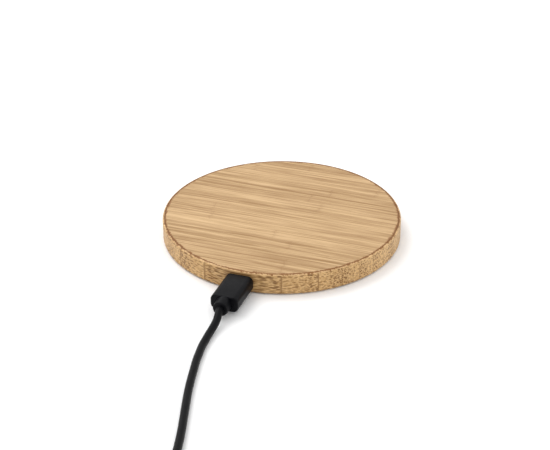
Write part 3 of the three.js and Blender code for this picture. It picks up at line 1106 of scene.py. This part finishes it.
@dataclass
class Studio:
    """The camera at its viewing angle, soft light from the left and a pale floor."""

    target: Point = (-1.98, -2.35, 4.5)
    azimuth: float = 19.51
    elevation: float = 29.155
    roll: float = -0.18
    distance: float = 589.4
    lens: float = 99.67
    floor_size: float = 12.0

    def camera(self) -> None:
        """Makes the camera and aims it."""
        a, e, r = (math.radians(v) for v in (self.azimuth, self.elevation, self.roll))
        back = Vector((math.sin(a) * math.cos(e), -math.cos(a) * math.cos(e), math.sin(e)))
        level = Vector((math.cos(a), math.sin(a), 0))
        upright = back.cross(level)
        right = level * math.cos(r) + upright * math.sin(r)
        up = upright * math.cos(r) - level * math.sin(r)
        data = bpy.data.cameras.new("camera")
        data.lens, data.sensor_width = self.lens, 36
        data.clip_start, data.clip_end = 0.01, 50
        made = bpy.data.objects.new("camera", data)
        turn = Matrix((right, up, back)).transposed().to_4x4()
        made.matrix_world = Matrix.Translation((Vector(self.target) + back * self.distance) * MM) @ turn
        bpy.context.scene.collection.objects.link(made)
        bpy.context.scene.camera = made

    def light(self, name: str, place: Point, size: float, power: float) -> None:
        """Adds one soft square light.

        Args:
            name: its name.
            place: where it hangs, in metres; it faces the pad.
            size: its side, in metres.
            power: its power, in watts.
        """
        data = bpy.data.lights.new(name, "AREA")
        data.shape, data.size, data.energy = "SQUARE", size, power
        made = bpy.data.objects.new(name, data)
        made.location = place
        made.rotation_euler = Vector(place).to_track_quat("Z", "Y").to_euler()
        bpy.context.scene.collection.objects.link(made)

    def floor(self) -> None:
        """Lays the floor that everything stands on."""
        half = self.floor_size / 2
        mesh = bpy.data.meshes.new("floor")
        corners = [(-half, -half, 0), (half, -half, 0), (half, half, 0), (-half, half, 0)]
        mesh.from_pydata(corners, [], [(0, 1, 2, 3)])
        paper = bpy.data.materials.new("pale_paper")
        paper.use_nodes = True
        shader = paper.node_tree.nodes["Principled BSDF"]
        shader.inputs["Base Color"].default_value = (0.96, 0.96, 0.96, 1)
        shader.inputs["Roughness"].default_value = 0.9
        shader.inputs["Specular IOR Level"].default_value = 0.1
        mesh.materials.append(paper)
        made = bpy.data.objects.new("floor", mesh)
        bpy.context.scene.collection.objects.link(made)

    def build(self) -> None:
        """Sets up everything but the object."""
        self.camera()
        self.light("key_softbox", (-0.5, 0.15, 0.8), 0.6, 3.4)
        self.light("fill_softbox", (0.5, -0.6, 0.9), 0.9, 0.6)
        self.floor()
        world = bpy.data.worlds.new("studio")
        world.use_nodes = True
        world.node_tree.nodes["Background"].inputs["Color"].default_value = (1, 1, 1, 1)
        world.node_tree.nodes["Background"].inputs["Strength"].default_value = 1.04
        bpy.context.scene.world = world
        bpy.context.scene.view_settings.view_transform = "Standard"


# ---- the cord ----------------------------------------------------------------------------------


@dataclass
class Winding:
    """The wound length of cord: turns side by side and on each other, three by three."""

    centre: tuple[float, float] = (0.78, -194.0)
    middle: float = 16.5
    pitch: float = 2.86
    bottom: float = 0.9
    crossover: float = 90.0
    lead: float = 27.0
    first_crossover: float = 0.62
    run_out: float = 190.8
    points_per_turn: int = 36
    places: tuple[tuple[int, int], ...] = (
        (0, 0), (1, 0), (2, 0), (2, 1), (2, 2), (1, 2), (1, 1), (0, 1), (0, 2),
    )

    def place(self, column: int, row: int) -> Vector:
        """The radius and height of a turn in the bundle, columns counted from outside."""
        return Vector((self.middle + (1 - column) * self.pitch, self.bottom + (row + 0.5) * self.pitch))

    def crossovers(self) -> list[float]:
        """The angles, in degrees from the start, at which each turn slips to the next place.

        Returns:
            One angle for each move. Where the moves turn a corner the next one comes early, so
            that its place is free before the cord arrives.
        """
        moves = [(b[0] - a[0], b[1] - a[1]) for a, b in zip(self.places, self.places[1:])]
        angles = [360 - self.crossover * self.first_crossover]
        for before, after in zip(moves, moves[1:]):
            corner = (before[0] == 0) != (after[0] == 0)
            angles.append(angles[-1] + 360 - (self.lead if corner else 0))
        return angles

    def route(self) -> list[Point]:
        """The turns' centre line.

        Returns:
            Its points, clockwise from the side where the cord arrives.
        """
        angles = self.crossovers()
        end = angles[-1] + self.crossover / 2 + self.run_out
        count = math.ceil(end / 360 * self.points_per_turn)
        made = []
        for i in range(count + 1):
            angle = end * i / count
            at = self.place(*self.places[0])
            for k, slip in enumerate(angles):
                share = min(max((angle - slip) / self.crossover + 0.5, 0), 1)
                eased = 0.5 - 0.5 * math.cos(math.pi * share)
                at = at + (self.place(*self.places[k + 1]) - self.place(*self.places[k])) * eased
            turn = math.radians(-angle)
            made.append(
                (self.centre[0] + at[0] * math.cos(turn), self.centre[1] + at[0] * math.sin(turn), at[1])
            )
        return made


@dataclass
class Cord:
    """The cord from the plug's strain relief to the far plug's."""

    diameter: float = 2.8
    sides: int = 20
    step: float = 0.8
    winding: Winding = field(default_factory=Winding)
    lead: tuple[Point, ...] = (
        (0, -64.5, 4.5),
        (0, -66.6, 4.5),
        (0.25, -68.2, 4.15),
        (0.48, -69.8, 3.5),
        (0.56, -71.3, 2.85),
        (0.55, -73, 2.35),
        (0.5, -75, 2),
        (0.46, -77.3, 1.75),
        (0.5, -79.7, 1.58),
        (0.62, -82.1, 1.48),
        (0.76, -84.6, 1.42),
        (1.07, -87.05, 1.4),
        (1.48, -89.5, 1.4),
        (2.27, -94.3, 1.4),
        (3.36, -99, 1.4),
        (4.98, -106, 1.4),
        (6.79, -112.9, 1.4),
        (8.76, -119.6, 1.4),
        (10.89, -126.6, 1.4),
        (13.07, -134, 1.45),
        (15.16, -142, 1.6),
        (17.05, -150.5, 1.85),
        (18.55, -159.5, 2.1),
        (19.55, -169, 2.25),
        (20.08, -178, 2.3),
        (20.14, -182, 2.3),
    )
    tail: tuple[Point, ...] = (
        (6.4, -215.8, 6.3),
        (3.2, -218.1, 5.5),
        (-0.2, -219.8, 4.7),
        (-3.6, -220.8, 4.1),
        (-6.7, -221, 3.8),
        (-9.5, -221, 3.8),
    )
    exit: Point = (0, -66.3, 4.5)

    def centre_line(self) -> list[Vector]:
        """The whole route, smoothed.

        Returns:
            Points a step apart, from one strain relief to the other.
        """
        route = [Vector(p) for p in (*self.lead, *self.winding.route(), *self.tail)]
        return smoothed(route, self.step)

    def tube(self, line: Sequence[Vector]) -> Solid:
        """The jacket round a centre line, with its two ends closed."""
        normal = Vector((1, 0, 0))
        rings = []
        for i, point in enumerate(line):
            along = (line[min(i + 1, len(line) - 1)] - line[max(i - 1, 0)]).normalized()
            normal = (normal - along * normal.dot(along)).normalized()
            side = along.cross(normal)
            turns = [2 * math.pi * k / self.sides for k in range(self.sides)]
            reach = self.diameter / 2
            rings.append([point + (normal * math.cos(t) + side * math.sin(t)) * reach for t in turns])
        return Solid.lofted(rings)

    def build(self, with_pieces: Sequence[bpy.types.Object | str]) -> bpy.types.Object:
        """Makes the cord and puts it on the cable in place of the CAD cord.

        Args:
            with_pieces: the plugs and the tie that are on it; not used.

        Returns:
            The cord.
        """
        line = self.centre_line()
        cord = self.tube(line).to_object("cord", JACKET.material())
        settle(cord, Body.CABLE, ("cord_lead", "cord_coil", "cord_tail"))
        return cord


def smoothed(points: Sequence[Vector], step: float) -> list[Vector]:
    """A smooth curve through points, by centripetal Catmull-Rom pieces.

    Args:
        points: what it goes through.
        step: about how far apart its own points are.

    Returns:
        The curve's points.
    """
    ends = [points[0] * 2 - points[1], *points, points[-1] * 2 - points[-2]]
    made = [points[0]]
    for a, b, c, d in zip(ends, ends[1:], ends[2:], ends[3:]):
        knots = [0.0]
        for p, q in ((a, b), (b, c), (c, d)):
            knots.append(knots[-1] + math.sqrt((q - p).length))
        count = max(1, round((c - b).length / step))
        for i in range(1, count + 1):
            t = knots[1] + (knots[2] - knots[1]) * i / count
            level = [a, b, c, d]
            for rise in (1, 2, 3):
                spans = [(k, k + rise) if rise == 1 else (max(k, 0), k + rise) for k in range(4 - rise)]
                level = [
                    level[k].lerp(level[k + 1], (t - knots[lo]) / (knots[hi] - knots[lo]))
                    for k, (lo, hi) in enumerate(
                        spans if rise == 1 else ([(0, 2), (1, 3)] if rise == 2 else [(1, 2)])
                    )
                ]
            made.append(level[0])
    return made


@dataclass
class CordTie:
    """The woven tie round the wound cord."""

    width: float = 4.6
    thickness: float = 0.6
    angle: float = 100.0
    corner: float = 1.7

    def build(self, winding: Winding) -> bpy.types.Object:
        """Wraps the tie round the bundle.

        Args:
            winding: the bundle that it holds.

        Returns:
            The tie.
        """
        span = Span("cord_tie")
        side = span.size.z
        half = self.width / 2
        edge = 0.12
        wall = self.thickness
        profile = [
            *arc(edge, half - edge, edge, 90, 180, 3),
            *arc(edge, edge - half, edge, 180, 270, 3),
            *arc(wall - edge, edge - half, edge, 270, 360, 3),
            *arc(wall - edge, half - edge, edge, 0, 90, 3),
        ]
        loop = Solid.drawn((side, side, self.corner), profile, Ends.JOINED, 8)
        loop.moved(winding.middle, 0, span.middle.z).spun(self.angle)
        tie = loop.moved(*winding.centre).to_object("cord_tie_strap", TAPE.material())
        unwrap_loop(tie, winding, span.middle.z, self.angle)
        return settle(tie, Body.CABLE, ("cord_tie",))


def unwrap_loop(tie: bpy.types.Object, winding: Winding, height: float, angle: float) -> None:
    """Gives the tie a UV map in millimetres: round the loop, and across the tape.

    Args:
        tie: the tie's object.
        winding: the bundle that it goes round.
        height: the bundle's middle, above the floor.
        angle: where round the winding the tie sits, in degrees.
    """
    turn = math.radians(angle)
    outward = Vector((math.cos(turn), math.sin(turn), 0))
    middle = Vector((*winding.centre, height)) + outward * winding.middle
    layer = tie.data.uv_layers.new(name="tape").data
    for face in tie.data.polygons:
        centre = face.center / MM - middle
        whole = math.atan2(centre.z, centre.dot(outward))
        for loop in face.loop_indices:
            point = tie.data.vertices[tie.data.loops[loop].vertex_index].co / MM - middle
            round_it = math.atan2(point.z, point.dot(outward))
            round_it += 2 * math.pi * round((whole - round_it) / (2 * math.pi))
            layer[loop].uv = (round_it * 5.0, point.dot(Vector((-outward.y, outward.x, 0))))


# ---- the pad -----------------------------------------------------------------------------------


@dataclass
class BambooPad:
    """The turned cup with its port and foot recesses, and the disc let into its rim."""

    segments: int = 360
    wall_rows: int = 12
    base_round: float = 0.7
    rim_round: float = 0.75
    rabbet: float = 45.2
    inner: float = 42.5
    floor_top: float = 2.0
    ledge: float = 6.85
    closeness: float = 0.2
    broken_edge: float = 0.07
    slot: tuple[float, float, float] = (9.6, 3.8, 1.9)
    slot_flare: float = 0.35
    recess: float = 4.2
    boss: float = 3.0
    pilot: float = 1.1
    screws: tuple[str, ...] = ("board_screw_1", "board_screw_2", "board_screw_3")
    feet: tuple[str, ...] = ("foot_1", "foot_2", "foot_3", "foot_4")

    def cup_profile(self, span: Span) -> list[tuple[float, float]]:
        """The cup's section, from the middle of its underside round to the middle of its floor."""
        radius, low, high = span.high.x, span.low.z, span.high.z
        base, rim, broken = self.base_round, self.rim_round, self.broken_edge
        first, last = low + base, high - rim
        rows = [(radius, first + (last - first) * i / self.wall_rows) for i in range(1, self.wall_rows)]
        return [
            (0, low),
            *[(radius * k / 6, low) for k in range(1, 6)],
            *arc(radius - base, low + base, base, -90, 0, 8),
            *rows,
            *arc(radius - rim, high - rim, rim, 0, 90, 6),
            (self.rabbet, high - broken),
            (self.rabbet, self.ledge),
            (self.inner, self.ledge),
            (self.inner, self.floor_top),
            (0, self.floor_top),
        ]

    def cup(self) -> bpy.types.Object:
        """The cup, with everything cut into it."""
        span = Span("body_shell")
        bamboo = BAMBOO_CUP.material()
        cup = Solid.turned(self.cup_profile(span), self.segments).to_object("bamboo_cup", bamboo)
        roughen_rim(cup.data, self.rabbet, span.high.z)
        port = Span("usb_socket_shell").middle.z
        radius = span.high.x
        flare = [
            (0, self.inner - 2),
            (0, radius - self.slot_flare - 0.3),
            (-self.slot_flare, radius),
            (-1.2, radius + 1),
        ]
        cutters = [Solid.drawn(self.slot, flare, steps=16).moved(0, 0, port).to_object("port_cutter")]
        for node in self.feet:
            foot = Span(node)
            pocket = [(0, -1), (self.recess, -1), (self.recess, foot.high.z + 0.05), (0, foot.high.z + 0.05)]
            place = (foot.middle.x, foot.middle.y, 0)
            cutters.append(Solid.turned(pocket, 64).moved(*place).to_object(node + "_cutter"))
        bosses = []
        top = Span("pcb").low.z - 0.05
        for node in self.screws:
            screw = Span(node)
            place = (screw.middle.x, screw.middle.y, 0)
            stud = [(0, 1), (self.boss, 1), (self.boss, top - 0.12), (self.boss - 0.12, top), (0, top)]
            foot = screw.low.z - 0.05
            hole = [(0, foot), (self.pilot, foot), (self.pilot, top + 1), (0, top + 1)]
            bosses.append(Solid.turned(stud, 48).moved(*place).to_object(node + "_boss", bamboo))
            cutters.append(Solid.turned(hole, 32).moved(*place).to_object(node + "_hole"))
        return settle(carved(cup, cutters, bosses), Body.PAD, ("body_shell",))

    def lid(self) -> bpy.types.Object:
        """The disc let into the rim."""
        span = Span("top_lid")
        radius, low, high = span.high.x + self.closeness, span.low.z, span.high.z
        broken = self.broken_edge
        profile = [
            (0, low),
            (radius, low),
            (radius, high - broken),
            (radius - broken, high),
            *[(radius * k / 6, high) for k in range(5, 0, -1)],
            (0, high),
        ]
        lid = Solid.turned(profile, self.segments).to_object("bamboo_lid", BAMBOO_LID.material())
        roughen_rim(lid.data, radius, high)
        return settle(lid, Body.PAD, ("top_lid",))

    def build(self) -> None:
        """Makes the cup and the lid."""
        self.cup()
        self.lid()


def roughen_rim(mesh: bpy.types.Mesh, radius: float, top: float) -> None:
    """Frays the upper edge of a joint as a cutter leaves it across bamboo's fibres.

    Args:
        mesh: the turned mesh.
        radius: the joint's radius on it, in millimetres.
        top: the height of its upper edge.
    """
    depth, near = 0.05, 0.12
    for vertex in mesh.vertices:
        place = vertex.co / MM
        flat = Vector((place.x, place.y, 0))
        if abs(flat.length - radius) < near and abs(place.z - top) < near:
            torn = noise.noise(flat * 0.8) + noise.noise(flat * 2.3)
            vertex.co += flat.normalized() * (torn * depth * MM)


@dataclass
class RubberFeet:
    """The round feet let into the cup's floor, each with a ring groove in its sole."""

    count: int = 4
    edge: float = 0.22
    groove: float = 0.12

    def build(self) -> None:
        """Makes each foot where its CAD node is."""
        for number in range(1, self.count + 1):
            node = f"foot_{number}"
            span = Span(node)
            radius, top = span.size.x / 2, span.high.z
            ring = radius * 0.62
            profile = [
                (0, 0),
                (ring - self.groove * 2, 0),
                (ring - self.groove, self.groove),
                (ring + self.groove, self.groove),
                (ring + self.groove * 2, 0),
                *arc(radius - self.edge, self.edge, self.edge, -90, 0, 5),
                *arc(radius - self.edge, top - self.edge, self.edge, 0, 90, 4),
                (0, top),
            ]
            foot = Solid.turned(profile, 72).moved(span.middle.x, span.middle.y, 0)
            made = foot.to_object(f"rubber_foot_{number}", RUBBER.material())
            settle(made, Body.PAD, (node,))


def contact_blade(width: float, length: float, height: float) -> Solid:
    """A contact lying along -Y with its upper edges eased, about its own origin."""
    ease = height * 0.3
    half = length / 2
    profile = [(ease, -half), (0, ease - half), (0, half - ease), (ease, half)]
    return Solid.drawn((width, height, ease), profile, steps=2)


@dataclass
class UsbSocket:
    """The socket in the pad's edge: a rolled shell and a tongue with contacts on both faces."""

    wall: float = 0.3
    lip: float = 0.12
    contacts: int = 12
    pitch: float = 0.5
    blade: tuple[float, float, float] = (0.28, 3.2, 0.06)

    def build(self, row: RowOfCopies) -> None:
        """Makes the shell, the tongue and its contacts."""
        span = Span("usb_socket_shell")
        width, height = span.size.x, span.size.z
        front, back = -span.low.y, -span.high.y
        lip, wall = self.lip, self.wall
        profile = [
            (0, back),
            (0, front - lip),
            (lip * 0.4, front - lip * 0.3),
            (lip, front),
            (wall - lip * 0.6, front),
            (wall, front - lip * 1.5),
            (wall, back),
        ]
        shell = Solid.drawn((width, height, height / 2), profile, Ends.JOINED, 20).moved(0, 0, span.middle.z)
        made = shell.to_object("socket_shell", NICKEL.material())
        settle(made, Body.PAD, ("usb_socket_shell",))
        self.tongue(row)

    def tongue(self, row: RowOfCopies) -> None:
        """Makes the tongue, its base and its two rows of contacts."""
        span = Span("usb_socket_tongue")
        blade_width, thickness, base_depth, ease = 6.5, 0.6, 1.0, 0.12
        back, tip = -span.high.y, -span.low.y
        base = [(0, back), (0, back + base_depth - ease), (ease, back + base_depth)]
        blade = [(0, back + 0.1), (0, tip - 0.2), (0.1, tip - 0.06), (0.2, tip)]
        solid = Solid.drawn((span.size.x, span.size.z, span.size.z / 2), base, steps=16)
        solid.with_(Solid.drawn((blade_width, thickness, 0.2), blade, steps=4)).moved(0, 0, span.middle.z)
        made = solid.to_object("socket_tongue", MOULDED_BLACK.material())
        settle(made, Body.PAD, ("usb_socket_tongue",))
        middle = -(tip - 0.4 - self.blade[1] / 2)
        for face, side in (("upper", 1), ("lower", -1)):
            at = (0, middle, span.middle.z + side * thickness / 2)
            pads = row.lay(
                contact_blade(*self.blade), f"socket_contacts_{face}", self.contacts, self.pitch, GOLD.material(), at
            )
            settle(pads, Body.PAD)


# ---- the plug ----------------------------------------------------------------------------------


@dataclass
class Plug:
    """The plug that pulls out of the pad's edge."""

    grip_corner: float = 2.1
    grip_edge: float = 0.5
    front_edge: float = 0.35
    wall: float = 0.25
    contacts: int = 12
    pitch: float = 0.5
    mouth: tuple[float, float, float] = (6.9, 0.9, 0.15)
    mouth_depth: float = 4.9

    def grip(self) -> bpy.types.Object:
        """The moulded grip."""
        span = Span("plug_overmold")
        front, back = -span.high.y, -span.low.y
        edge, fore = self.grip_edge, self.front_edge
        shoulders = [(fore - y, front + x) for x, y in arc(fore, 0, fore, 180, 90, 5)]
        ends = [(edge - y, back - edge + x) for x, y in arc(0, 0, edge, 90, 0, 8)]
        solid = Solid.drawn((span.size.x, span.size.z, self.grip_corner), [*shoulders, *ends], steps=14)
        made = solid.moved(0, 0, span.middle.z).to_object("plug_grip", PLUG_PLASTIC.material())
        return settle(made, Body.CABLE, ("plug_overmold",))

    def strain_relief(self) -> bpy.types.Object:
        """The short round collar where the cord leaves the grip."""
        span = Span("plug_collar")
        return relief("plug_strain_relief", span.size.x / 2, 2.8, -span.high.y - 0.4, -span.low.y, span.middle.z)

    def nose(self) -> bpy.types.Object:
        """The metal shell that goes into the socket."""
        span = Span("plug_shell")
        tip, root = -span.high.y, -span.low.y + 0.3
        wall, ease = self.wall, 0.1
        profile = [
            (0, root),
            (0, tip + ease * 1.6),
            (ease * 0.4, tip + ease * 0.4),
            (ease, tip),
            (wall - ease * 0.4, tip),
            (wall, tip + ease),
            (wall, root),
        ]
        shell = Solid.drawn((span.size.x, span.size.z, span.size.z / 2), profile, Ends.JOINED, 20)
        made = shell.moved(0, 0, span.middle.z).to_object("plug_nose", NICKEL.material())
        return settle(made, Body.CABLE, ("plug_shell",))

    def core(self, row: RowOfCopies) -> list[bpy.types.Object]:
        """The moulding inside the nose and the contacts in its mouth."""
        span = Span("plug_core")
        tip, root = -span.high.y, -span.low.y
        width, height, corner = self.mouth
        outer = Solid.drawn((span.size.x, span.size.z, span.size.z / 2), [(0, tip), (0, root)], steps=16)
        core = outer.moved(0, 0, span.middle.z).to_object("plug_nose_core", MOULDED_BLACK.material())
        bottom = tip + self.mouth_depth
        hollow = Solid.drawn((width, height, corner), [(-0.2, tip - 0.3), (0, tip + 0.15), (0, bottom)], steps=4)
        carved(core, [hollow.moved(0, 0, span.middle.z).to_object("mouth_cutter")])
        pieces = [settle(core, Body.CABLE, ("plug_core",))]
        for face, side in (("upper", 1), ("lower", -1)):
            at = (0, -(tip + 2.6), span.middle.z + side * (height / 2 + 0.01))
            beam = contact_blade(0.24, 3.4, 0.1)
            beams = row.lay(beam, f"plug_contacts_{face}", self.contacts, self.pitch, GOLD.material(), at)
            pieces.append(settle(beams, Body.CABLE))
        return pieces

    def build(self, row: RowOfCopies) -> list[bpy.types.Object]:
        """Makes the plug.

        Args:
            row: what lays out the contacts.

        Returns:
            Its pieces.
        """
        return [self.grip(), self.strain_relief(), self.nose(), *self.core(row)]


def relief(name: str, front: float, back: float, start: float, end: float, height: float) -> bpy.types.Object:
    """A tapered collar along -Y whose end is rounded in towards the cord.

    Args:
        name: the piece's name.
        front, back: its radius at the grip and at the cord.
        start, end: where it begins and ends along -Y.
        height: its axis above the floor.

    Returns:
        The collar, on the cable.
    """
    solid = Solid.lofted(relief_rings(front, back, start, end)).moved(0, 0, height)
    made = solid.to_object(name, PLUG_PLASTIC.material())
    return settle(made, Body.CABLE, ("plug_collar",))


def relief_rings(front: float, back: float, start: float, end: float) -> list[list[Point]]:
    """The rings of a tapered collar along -Y, from its grip end to the hole that the cord leaves by."""
    ease, turns = 0.35, [2 * math.pi * i / 48 for i in range(48)]
    tapered = [(front + (back - front) * k / 4, start + (end - ease - start) * k / 4) for k in range(5)]
    rounded = [(back - ease + y, end - ease + x) for x, y in arc(0, 0, ease, 80, 0, 5)]
    profile = [*tapered, *rounded, (1.35, end), (1.3, end - 0.5)]
    return [[(r * math.cos(t), -along, r * math.sin(t)) for t in turns] for r, along in profile]


# ---- the far plug ------------------------------------------------------------------------------


@dataclass
class FarPlug:
    """The flat plug at the cord's other end, lying along -X beside the wound cord."""

    grip_corner: float = 2.0
    grip_edge: float = 0.8
    shell_wall: float = 0.35
    window: tuple[float, float] = (2.3, 2.0)
    contacts: int = 4
    pitch: float = 2.3

    def place(self, solid: Solid) -> Solid:
        """Turns a solid drawn along -Y to lie along -X at the plug's height."""
        shell = Span("far_plug_shell")
        return solid.spun(-90).moved(0, shell.middle.y, shell.middle.z)

    def grip(self) -> bpy.types.Object:
        """The moulded grip, with its edges rounded at both ends."""
        span = Span("far_plug_overmold")
        front, back = -span.high.x, -span.low.x
        edge = self.grip_edge
        start = [(edge - y, front + edge - x) for x, y in arc(0, 0, edge, 0, 90, 8)]
        end = [(edge - y, back - edge + x) for x, y in arc(0, 0, edge, 90, 0, 8)]
        solid = Solid.drawn((span.size.y, span.size.z, self.grip_corner), [*start, *end], steps=12)
        solid.spun(-90).moved(0, span.middle.y, span.middle.z)
        made = solid.to_object("far_plug_grip", PLUG_PLASTIC.material())
        return settle(made, Body.CABLE, ("far_plug_overmold",))

    def collar(self) -> bpy.types.Object:
        """The tapered strain relief, narrow where the cord goes in."""
        span = Span("far_plug_collar")
        rings = relief_rings(span.size.y / 2, 2.5, -0.4, span.size.x)
        flipped = [[(-x, -y, z) for x, y, z in ring] for ring in rings]
        solid = Solid.lofted(flipped).spun(-90).moved(span.low.x, span.middle.y, span.middle.z)
        made = solid.to_object("far_plug_strain_relief", PLUG_PLASTIC.material())
        return settle(made, Body.CABLE, ("far_plug_collar",))

    def shell(self) -> bpy.types.Object:
        """The folded metal shell with its latch windows."""
        span = Span("far_plug_shell")
        root, tip = -span.high.x - 0.3, -span.low.x
        wall, ease = self.shell_wall, 0.1
        profile = [
            (0, root), (0, tip - ease), (ease, tip), (wall - ease * 0.5, tip), (wall, tip - ease), (wall, root),
        ]
        solid = self.place(Solid.drawn((span.size.y, span.size.z, 0.5), profile, Ends.JOINED, 6))
        made = solid.to_object("far_plug_shell_folded", NICKEL.material())
        cutters = []
        for side in (-1, 1):
            hole = Solid.drawn((self.window[0], 9.0, 0.15), [(0, -self.window[1] / 2), (0, self.window[1] / 2)], steps=2)
            hole.spun(-90).moved(-(tip - 5.2), span.middle.y + side * 2.9, span.middle.z + 4.5)
            cutters.append(hole.to_object(f"window_cutter_{side}"))
        return settle(carved(made, cutters), Body.CABLE, ("far_plug_shell",))

    def insert(self, row: RowOfCopies) -> list[bpy.types.Object]:
        """The white carrier with its four contacts."""
        span = Span("far_plug_insert")
        front, back = -span.high.x, -span.low.x
        profile = [(0, front - 0.2), (0, back - 0.15), (0.15, back)]
        solid = Solid.drawn((span.size.y, span.size.z, 0.2), profile, steps=4)
        solid.spun(-90).moved(0, span.middle.y, span.middle.z)
        made = solid.to_object("far_plug_carrier", MOULDED_WHITE.material())
        pieces = [settle(made, Body.CABLE, ("far_plug_insert",))]
        strips = row.lay(
            contact_blade(1.1, 6.8, 0.16), "far_plug_contacts", self.contacts, self.pitch, GOLD.material(), (0, 0, 0)
        )
        turn = Matrix.Rotation(math.radians(-90), 4, "Z")
        place = Vector((-(back - 4.4), span.middle.y, span.low.z)) * MM
        strips.data.transform(Matrix.Translation(place) @ turn)
        pieces.append(settle(strips, Body.CABLE))
        return pieces

    def build(self, row: RowOfCopies) -> list[bpy.types.Object]:
        """Makes the far plug.

        Args:
            row: what lays out the contacts.

        Returns:
            Its pieces.
        """
        return [self.grip(), self.collar(), self.shell(), *self.insert(row)]


# ---- inside the pad ----------------------------------------------------------------------------


@dataclass
class Inside:
    """What the lid covers: the board, the charging coil and the parts between them."""

    turns: float = 10.5
    wire: float = 1.0

    def coil(self) -> bpy.types.Object:
        """The flat spiral of litz wire."""
        span = Span("transmitter_coil")
        hole = 10.0
        sizes = {
            "Turns": self.turns,
            "Inner Radius": (hole + self.wire / 2) * MM,
            "Outer Radius": (span.high.x - self.wire / 2) * MM,
            "Wire Radius": self.wire / 2 * MM,
            "Height": span.middle.z * MM,
        }
        made = FlatSpiral().wind("litz_spiral", sizes, ENAMELLED_WIRE.material())
        return settle(made, Body.PAD, ("transmitter_coil",))

    def build(self) -> None:
        """Winds the coil and dresses the CAD nodes that keep their shape."""
        self.coil()
        dress = {
            FOAM: ("foam_pad",),
            FERRITE: ("ferrite_shield", "power_inductor"),
            FILM: ("coil_adhesive",),
            SOLDER_MASK: ("pcb",),
            ENAMELLED_WIRE: ("coil_lead_inner", "coil_lead_outer"),
            MOULDED_BLACK: ("thermistor", "controller_chip", "power_stage_chip", "regulator_chip"),
            CERAMIC: ("input_capacitor", *(f"resonant_capacitor_{i}" for i in range(1, 5))),
            NICKEL: ("crystal", *(f"board_screw_{i}" for i in range(1, 4))),
        }
        for finish, nodes in dress.items():
            for node in nodes:
                frame["nodes"][node].material_slots[0].material = finish.material()
                LOG.info("%s: %s", node, finish.name)


def main() -> None:
    """Builds the camera and the cord's surroundings, then every sub-assembly in turn."""
    logging.basicConfig(level=logging.INFO, format="%(name)s: %(message)s")
    Studio().build()
    row = RowOfCopies()
    winding = Winding()
    plug = Plug().build(row)
    tie = CordTie().build(winding)
    far_plug = FarPlug().build(row)
    Cord(winding=winding).build([*plug, tie, *far_plug])
    BambooPad().build()
    RubberFeet().build()
    UsbSocket().build(row)
    Inside().build()


if __name__ == "__main__":
    main()
